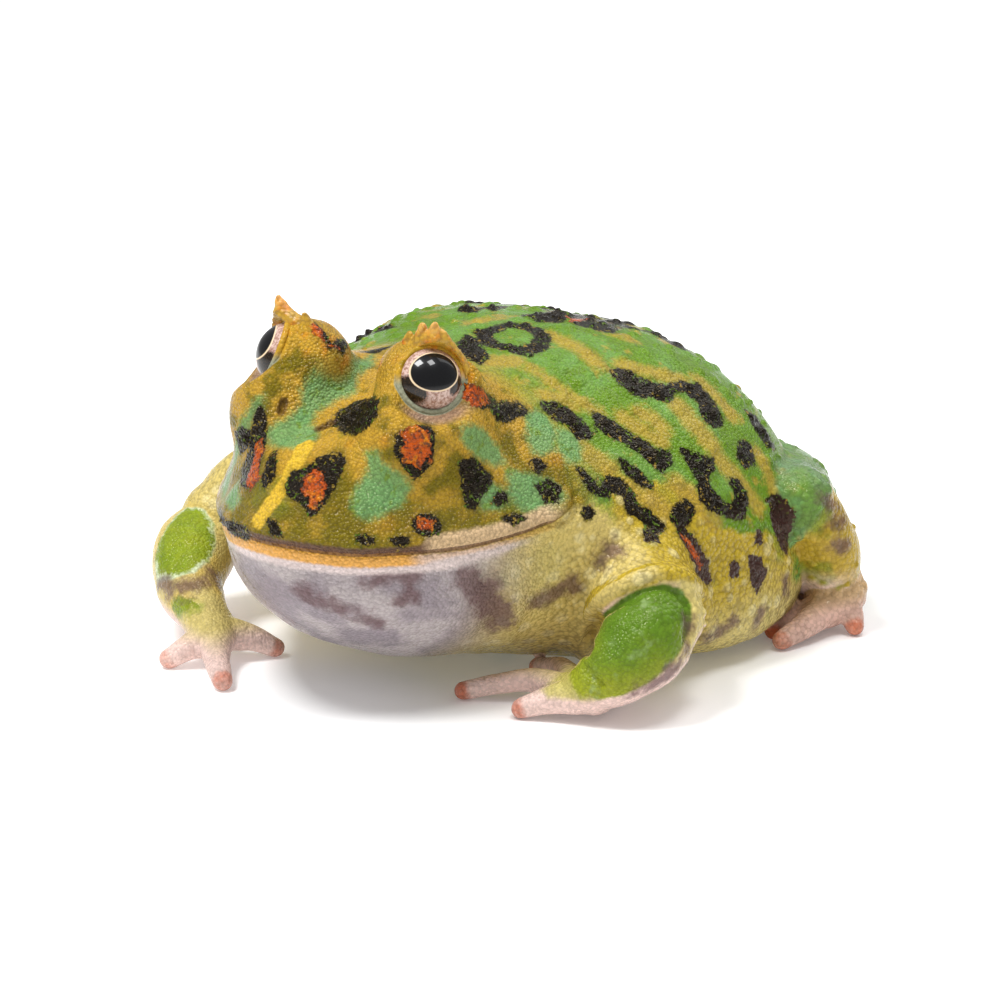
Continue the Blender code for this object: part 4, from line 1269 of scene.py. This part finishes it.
def skin_material():
    """The frog's skin: regions, then patches, marks and lips over them, all in grains."""
    make = Maker("frog_skin")
    keep = {name: make.kept(name) for name in KEPT}
    broad = make.noise(9.0, 3.0)
    middle = make.noise(3.0, 3.0)
    fine = make.noise(1.1, 2.0)
    ragged = make.noise(1.9, 4.0, 0.65)
    speck = make.noise(0.7, 2.0, 0.6)
    mix, step = make.mix, make.step
    edge = (ragged - 0.5) * 1.9 + (speck - 0.5) * 1.5

    def mask(name, soft, shift=0.0, rough=1.0):
        """Where a field is above 0, with ragged edges."""
        return step(keep[name] + edge * rough + shift, -soft, soft)

    # the trunk
    green = mix(BACK_GREEN, BACK_TEAL, step(broad, 0.42, 0.62))
    green = mix(green, LEAF, step(make.noise(5.0, 3.0), 0.48, 0.66))
    green = mix(green, OCHRE, step(make.noise(4.2, 3.0, 0.6), 0.57, 0.7) * 0.65)
    flank = mix(FLANK, FLANK_PALE, step(keep["low"] + (broad - 0.5) * 12, 17.0, 4.0))
    flank = mix(flank, LEAF, step(make.noise(8.0, 3.0), 0.55, 0.7) * 0.5)
    jowl = step(keep["jowl"] + edge * 1.6, -2.0, 1.0)
    flank = mix(flank, JOWL, jowl * 0.85)
    flank = mix(flank, CREAM, step(keep["pebble"], 0.0, 0.6) * 0.35)
    back = step(keep["back"] + (middle - 0.5) * 0.8, 0.35, 0.65) * (1 - jowl)
    colour = mix(flank, green, back)
    colour = mix(colour, OCHRE, mask("ochre", 1.0, 0.5) * 0.8)
    # the face and throat
    lower_face = step(keep["low"] + (broad - 0.5) * 12, 40.0, 33.0)
    face = mix(TAN, OLIVE, step(make.noise(4.0, 3.0) + lower_face * 0.12, 0.46, 0.66))
    face = mix(face, ORANGE, step(make.noise(6.5, 2.0), 0.62, 0.75) * 0.4)
    face = mix(face, LEAF, step(make.noise(7.5, 3.0), 0.58, 0.72) * 0.5)
    face = mix(face, OLIVE, lower_face * 0.5)
    colour = mix(colour, face, keep["face"])
    patch = mix(TEAL, LEAF, step(ragged, 0.54, 0.68) * 0.7)
    colour = mix(colour, patch, mask("green", 0.9, 0.1) * 0.9)
    near_brow = step(keep["brow"] + edge * 0.8, 5.0, 2.0) * 0.8
    colour = mix(colour, mix(ORANGE, TAN, step(middle, 0.34, 0.54)), near_brow)
    colour = mix(colour, STRIPE_YELLOW, mask("stripe", 0.3, 0.1, 0.4))
    throat = mix(THROAT, THROAT_PALE, step(broad, 0.4, 0.6))
    throat = mix(throat, THROAT_PALE, step(keep["over"], -6.0, -1.5) * 0.8)
    colour = mix(colour, throat, keep["throat"])
    # the limbs
    arm = mix(FLANK_PALE, STRIPE_YELLOW, step(broad, 0.45, 0.65) * 0.35)
    arm = mix(arm, PINK, keep["under"])
    fore_green = mix(ARM_GREEN, LIME, step(keep["low"] + (broad - 0.5) * 14, 15.0, 4.0))
    # pale noise patches on the forearm's green: a painted sheen
    fore_green = mix(fore_green, ARM_PAINTED_SHEEN, step(middle, 0.56, 0.76) * 0.6)
    fore_green = mix(fore_green, ARM_LIGHT, keep["right"] * 0.8)
    arm = mix(arm, fore_green, step(keep["fore_green"] + edge * 0.25, -0.3, 0.3))
    colour = mix(colour, arm, step(keep["forearm"] + edge * 0.2, -1.2, -0.4))
    thigh = mix(THIGH_GREEN, BACK_GREEN, step(broad, 0.4, 0.64) * 0.6)
    thigh = mix(thigh, TEAL, step(middle, 0.5, 0.7) * 0.5)
    colour = mix(colour, thigh, step(keep["thigh"] + (middle - 0.5) * 5, -2.0, 0.6)
                 * step(keep["low"] + edge * 2, 8.0, 14.0))
    shank = mix(mix(OCHRE, FLANK, middle), LEAF, step(broad, 0.5, 0.62) * 0.7)
    shank = mix(shank, PINK, keep["under"] * step(keep["low"], 12.0, 6.0))
    colour = mix(colour, shank, step(keep["shank"], -1.2, -0.4))
    colour = mix(colour, mix(LEAF, LIME, middle), mask("lime", 0.5))
    hand = mix(PINK, FLANK_PALE, step(keep["low"], 3.6, 7.0))
    # the hind feet a darker, browner pink
    hand = mix(hand, HIND_FOOT_PINK, keep["rear"] * 0.6)
    on_hand = step(keep["hand"] + edge * 0.4, -1.0, -0.2)
    colour = mix(colour, hand, on_hand)
    wrist = step(keep["fore_green"] + edge * 0.4, -0.5, 0.6) * on_hand
    colour = mix(colour, mix(LIME, FLANK_PALE, middle), wrist * 0.8)
    colour = mix(colour, TIP, step(keep["tip"] + edge * 0.2, 1.9, 1.2) * 0.9)
    # soft dark clouds, then the mouth and the lids
    cloud = step(keep["purple"] + edge + (middle - 0.5) * 6, -1.4, 1.2)
    colour = mix(colour, PURPLE, cloud * 0.8)
    pale = step(keep["pale_lip"] + edge * 0.5, -1.5, 1.0)
    over = keep["over"] + edge * 0.3
    upper = step(over, 1.5 + pale * 1.6, 0.9 + pale * 1.4) * step(over, -0.2, 0.1)
    upper = upper * keep["lips"]
    colour = mix(colour, mix(LIP_DARK, LIP_PALE, pale), upper * 0.9)
    rim_low = step(over, -3.6 + pale * 1.2, -2.7 + pale) * step(over, -0.3, -0.6)
    colour = mix(colour, LIP_EDGE, rim_low * step(keep["throat"], 0.0, 0.5) * 0.85)
    deep = -2.0 + pale * 0.9
    inside = step(over, deep - 0.3, deep + 0.3) * step(over, 0.25, 0.0)
    fading = step(keep["pale_lip"], FAR * 0.9, -0.5)
    colour = mix(colour, LIP_INSIDE, inside * (0.85 - fading * 0.55) * keep["lips"])
    colour = mix(colour, LIP_DARK, step(keep["over"], 0.5, 0.25)
                 * step(keep["over"], -0.45, -0.2) * keep["lips"] * 0.75)
    socket = step(keep["lid"] + edge * 0.3, 3.6, 1.4) * 0.75
    colour = mix(colour, MAUVE, socket * step(keep["low"], 48.5, 46.0))
    colour = mix(colour, LID, step(keep["lid"], 0.85, 0.6) * step(keep["low"], 52.0, 50.0))
    # black marks with flecks, red middles and nostrils
    spot = step(keep["spot"] + edge * 0.8, -0.1, 0.2)
    centre = step(keep["ember"] + edge * 1.3 + (middle - 0.5) * 2.4, -0.2, 0.2)
    darks = mask("dark", 0.22, 0.45)
    colour = mix(colour, DARK_OLIVE, step(keep["dark"] + edge * 0.6, -1.4, 0.4) * 0.45)
    colour = mix(colour, DARK_OLIVE, step(keep["spot"] + edge * 0.6, -1.2, 0.2) * 0.4)
    flecks = step(speck, 0.56, 0.66) * (step(keep["dark"], 1.2, 0.2) * 0.8 + 0.1)
    black = mix(BLACK, mix(LEAF, OCHRE, step(middle, 0.45, 0.6)), flecks * 0.7)
    black = mix(black, BROWN, step(keep["low"], 27.0, 20.0))
    colour = mix(colour, black, darks.most(spot))
    ember = mix(mix(RED, ORANGE, step(ragged, 0.5, 0.7)), BROWN, step(speck, 0.5, 0.64) * 0.8)
    colour = mix(colour, ember, centre)
    colour = mix(colour, BROWN, step(keep["nostril"], -0.7, -0.1) * 0.8)
    colour = mix(colour, TAN, step(keep["nostril"], 0.1, 0.3) * 0.7)

    def grains(size):
        """Distance to the middle of a grain, and the grain's own number."""
        return make.cells(size), make.node("ShaderNodeSeparateColor", None, {
            0: make.cells(size, output="Color")})

    (small, small_number), (large, large_number) = (grains(size) for size in GRAINS)

    def blend(a, b):
        """From fine skin to coarse."""
        return a + (b - a) * keep["coarse"]

    # grains, each a little lighter or darker, with painted shade in the gaps between them
    grain, number = blend(small, large), blend(small_number, large_number)
    colour = make.node("ShaderNodeHueSaturation", None, {
        "Color": colour, "Value": step(number, 0.0, 1.0, 0.9, 1.12)})
    plain = step(keep["hand"], -0.5, 0.5).most(step(keep["lid"], 1.2, 0.7))
    plain = plain.most(keep["throat"] * 0.6)
    plain = plain.most(step(keep["shank"].most(keep["forearm"]), -1.2, -0.4) * 0.6)
    plain = plain.most(keep["back"] * (1 - keep["face"]) * 0.45)
    # painted shade in the gaps between grains, weaker on plain skin
    gap_shade = step(grain, 0.45, 0.75) * (0.3 + keep["coarse"] * 0.12) * (1 - plain * 0.85)
    colour = mix(colour, mix(colour, GAP_SHADE, 0.8), gap_shade)
    bumped = make.bump((1 - grain) * (1 - plain * 0.6), 0.3, 1.0)
    bumped = make.bump(make.noise(2.2, 3.0), 0.35, 0.6, bumped)
    return make.finish(Base_Color=colour, Roughness=step(fine, 0.3, 0.7, *SKIN_ROUGH),
                       Specular_IOR_Level=SKIN_SHINE, Specular_Tint=SKIN_SHEEN,
                       Normal=bumped)


SIDES = ((1, "left"), (-1, "right"))
EYE_RINGS, EYE_SIDES = 64, 96
CORNEA = 0.12                 # how far the front of the eye bulges
IRIS, IRIS_VEIN, IRIS_FLECK = srgb(218, 190, 178), srgb(156, 114, 96), srgb(84, 56, 42)
BLOTCH, BLOTCH_PALE = srgb(22, 16, 10), srgb(74, 54, 32)
PUPIL_EDGE, EYE_SIDE, PUPIL = srgb(240, 214, 176), srgb(60, 48, 40), (0.004, 0.004, 0.005)
HORN_RED, HORN_TIP, HORN_GAP_SHADE = srgb(196, 96, 44), srgb(232, 176, 92), srgb(90, 56, 24)
HORN_TOP = (0.0566, 0.0586)   # metres above the floor where a horn turns pale


def add_piece(name, mesh, material, slot, *nodes):
    """Put a mesh in the scene as a smooth piece that stands on the floor in the place of
    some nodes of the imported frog."""
    piece = add_object(name, mesh)
    mesh.materials.clear()
    mesh.materials.append(material)
    mesh.polygons.foreach_set("use_smooth", [True] * len(mesh.polygons))
    set_places(mesh, vertex_arrays(mesh)[0] + STAND)
    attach(piece, "root")
    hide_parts(*nodes)


def pupil_axis():
    """Where the left pupil lies on its ball, found from its pixel in the picture."""
    place, ray = camera_axes()[0], pixel_ray(*PUPIL_PIXEL)
    ray /= np.linalg.norm(ray)
    along = (EYE_AT - place) @ ray
    miss = np.linalg.norm(place + along * ray - EYE_AT)
    hit = place + (along - math.sqrt(EYE_RADIUS ** 2 - miss ** 2)) * ray
    return (hit - EYE_AT) / EYE_RADIUS


def eye_mesh(side):
    """Eyeball: a ball whose front is bulged by a bell of the angle from the pupil."""
    axis = sided(pupil_axis(), side)
    across = np.cross([0.0, 0.0, 1.0], axis)
    across /= np.linalg.norm(across)
    up = np.cross(axis, across)
    v = np.linspace(0, math.pi, EYE_RINGS + 1)
    u = np.arange(EYE_SIDES) * math.tau / EYE_SIDES
    radius = (EYE_RADIUS + CORNEA * bell(v, 0.5))[:, None, None]
    points = (
        np.cos(v)[:, None, None] * axis
        + np.sin(v)[:, None, None] * (np.cos(u)[:, None] * across + np.sin(u)[:, None] * up)
    )
    return closed_rings("eye", sided(EYE_AT, side) + radius * points), axis, across, up


def eye_material(side, axis, across, up):
    """Wet eyeball: a wide oval pupil with a cream edge, pink iris veined and blotched brown."""
    make = Maker("eye_left" if side > 0 else "eye_right")
    centre = (sided(EYE_AT, side) + STAND) * MM
    away = make.node("ShaderNodeVectorMath", {"operation": "SUBTRACT"},
                     {0: make.place(), 1: tuple(centre)})

    def along(line):
        """Millimetres from the middle of the ball, along a direction."""
        return make.node("ShaderNodeVectorMath", {"operation": "DOT_PRODUCT"},
                         {0: away, 1: tuple(line / MM)}, "Value")

    x, y, front = along(across) * float(side), along(up), along(axis)
    wide, tall = x / PUPIL_HALF[0], y / PUPIL_HALF[1]
    oval = (wide * wide + tall * tall).math("SQRT")
    veins = make.noise(0.5, 5.0, 0.7)
    fine = make.noise(0.16, 3.0, 0.6)
    iris = make.mix(IRIS, IRIS_VEIN, make.step(veins, 0.4, 0.62))
    iris = make.mix(iris, IRIS_FLECK, make.step(fine, 0.57, 0.7) * 0.6)

    def blotch(at_x, at_y, wide, tall, lean):
        """Soft oval on the iris, leaning by an angle."""
        c, s = math.cos(lean), math.sin(lean)
        a = ((x - at_x) * c + (y - at_y) * s) / wide
        b = ((y - at_y) * c - (x - at_x) * s) / tall
        return make.step(a * a + b * b + (veins - 0.5) * 1.6 + (fine - 0.5) * 0.8, 1.1, 0.6)

    blotches = blotch(-3.5, -1.9, 2.8, 1.4, -0.85).most(blotch(3.1, -2.0, 1.8, 0.8, 0.95))
    iris = make.mix(iris, make.mix(BLOTCH, BLOTCH_PALE, make.step(fine, 0.5, 0.64)), blotches)
    iris = make.mix(iris, PUPIL_EDGE, make.step(oval, 1.09, 1.05))
    iris = make.mix(iris, EYE_SIDE, make.step(front, 2.9, 2.2))
    colour = make.mix(iris, PUPIL, make.step(oval, 1.03, 0.99))
    return make.finish(Base_Color=colour, Roughness=0.3, Specular_IOR_Level=0.1,
                       Coat_Weight=0.6, Coat_Roughness=0.02)


def add_eyes():
    """Both eyeballs."""
    for side, name in SIDES:
        mesh, *axes = eye_mesh(side)
        add_piece(f"{name}_eyeball", mesh, eye_material(side, *axes), "eye", f"{name}_eye")


def horn_mesh(side):
    """Horn of an upper lid: a crest of tapering peaks side by side, fused and grained."""
    peaks = HORN_PEAKS + ([LEFT_PEAK] if side > 0 else [])
    cones = [limb_mesh("peak", [sided(foot, side), sided(tip, side)], (wide, thin), 36, 36)
             for foot, tip, wide, thin in peaks]
    horn = blended(cones, 0.2, 4)
    places, normals = vertex_arrays(horn)
    near, _ = warts(places, *HORN_GRAINS)
    grains = HORN_GRAIN_HIGH * np.maximum(1 - (near / 0.5) ** 2, 0.0)
    rise = grains + 0.16 * lumps(places, 1.5, 33)
    set_places(horn, with_openings(places + normals * rise[:, None], 0.2))
    return horn


def horn_material(side):
    """Horn skin: tan and orange grains, darker and redder in streaks, pale at the tip."""
    make = Maker("horn_left" if side > 0 else "horn_right")
    streak = make.noise(2.4, 3.0)
    colour = make.mix(TAN, ORANGE, make.step(streak, 0.46, 0.66))
    colour = make.mix(colour, HORN_RED, make.step(streak, 0.62, 0.74) * 0.7)
    height = make.node("ShaderNodeSeparateXYZ", None, {0: make.place()}, "Z")
    colour = make.mix(colour, HORN_TIP, make.step(height, *HORN_TOP) * 0.7)
    grain = make.cells(0.7)
    # painted shade in the gaps between the horn's grains
    colour = make.mix(colour, HORN_GAP_SHADE, make.step(grain, 0.45, 0.75) * 0.35)
    bumped = make.bump(1 - grain, 0.25, 0.7)
    return make.finish(Base_Color=colour, Roughness=0.34, Specular_IOR_Level=0.4,
                       Normal=bumped)


def add_horns():
    """Both horns."""
    for side, name in SIDES:
        add_piece(f"{name}_lid_horn", horn_mesh(side), horn_material(side), "horn",
                  f"{name}_horn")


def add_skin():
    """The skin, in place of all the flesh."""
    mesh, picture = skin_mesh()
    store_regions(mesh, picture)
    limbs = ("upper_arm", "forearm", "hand", "thigh", "shank", "foot")
    add_piece("skin", mesh, skin_material(), "skin_back", "head", "lower_jaw", "torso",
              *(f"{side}_{limb}" for side in ("left", "right") for limb in limbs))


# The studio

WORLD_LIGHT = 0.36
SENSOR = 36.0                 # millimetres
FLOOR_HALF = 3.0              # metres
# The floor's emission is painted light that keeps it white; its weaker glow near the frog is a
# painted shadow.
SHADE_MIDDLE = (0.028, 0.012, 0.0)    # metres, where the floor glows least
SHADE_REACH = (0.035, 0.11)
SHADE_GLOW, FLOOR_GLOW, GLOW = (0.24, 0.24, 0.24), (1.0, 1.0, 1.0), 0.45
LAMPS = {
    # place, width of the square and power
    "key": ((-150, -260, 700), 220, 4.4),
    "second": ((170, -40, 690), 190, 1.8),
    "back": ((60, 560, 560), 600, 2.0),
}
LAMPS_AIM = (0.0, 0.0, 20.0)


def add_camera():
    """The camera that took the picture."""
    place, right, up, ahead = camera_axes()
    camera = bpy.data.cameras.new("camera")
    camera.sensor_width = SENSOR
    camera.lens = SENSOR * FOCAL_PIXELS / PICTURE
    camera.clip_start = 0.01
    obj = bpy.data.objects.new("camera", camera)
    bpy.context.scene.collection.objects.link(obj)
    turned = Matrix((right, up, -ahead)).transposed().to_4x4()
    obj.matrix_world = Matrix.Translation((place + STAND) * MM) @ turned
    bpy.context.scene.camera = obj


def add_lamp(name, place, size, power):
    """A soft square lamp at a place in millimetres, aimed at the frog."""
    lamp = bpy.data.lights.new(name, "AREA")
    lamp.shape = "SQUARE"
    lamp.size = size * MM
    lamp.energy = power
    obj = bpy.data.objects.new(name, lamp)
    bpy.context.scene.collection.objects.link(obj)
    at = Vector(place) * MM
    obj.location = at
    obj.rotation_euler = (Vector(LAMPS_AIM) * MM - at).to_track_quat("-Z", "Y").to_euler()


def add_studio():
    """A pale floor that glows as painted light, less near the frog as a painted shadow,
    an even world and soft lamps.
    """
    bpy.context.scene.view_settings.view_transform = "Standard"
    world = bpy.data.worlds.new("studio")
    bpy.context.scene.world = world
    world.use_nodes = True
    background = world.node_tree.nodes["Background"]
    background.inputs["Color"].default_value = (1.0, 1.0, 1.0, 1.0)
    background.inputs["Strength"].default_value = WORLD_LIGHT
    mesh = bpy.data.meshes.new("floor")
    half = FLOOR_HALF
    corners = [(-half, -half, 0.0), (half, -half, 0.0), (half, half, 0.0), (-half, half, 0.0)]
    mesh.from_pydata(corners, [], [(0, 1, 2, 3)])
    floor = add_object("floor", mesh)
    # painted light: the floor glows, and glows less near the frog as a painted shadow
    make = Maker("floor_painted_glow")
    away = make.node("ShaderNodeVectorMath", {"operation": "DISTANCE"},
                     {0: make.place(), 1: SHADE_MIDDLE}, "Value")
    glow = make.mix(SHADE_GLOW, FLOOR_GLOW, make.step(away, *SHADE_REACH))
    mesh.materials.append(make.finish(
        Base_Color=(0.9, 0.9, 0.9), Roughness=0.6, Emission_Color=glow,
        Emission_Strength=GLOW))
    for name, lamp in LAMPS.items():
        add_lamp(name, *lamp)


add_skin()
add_eyes()
add_horns()
add_camera()
add_studio()
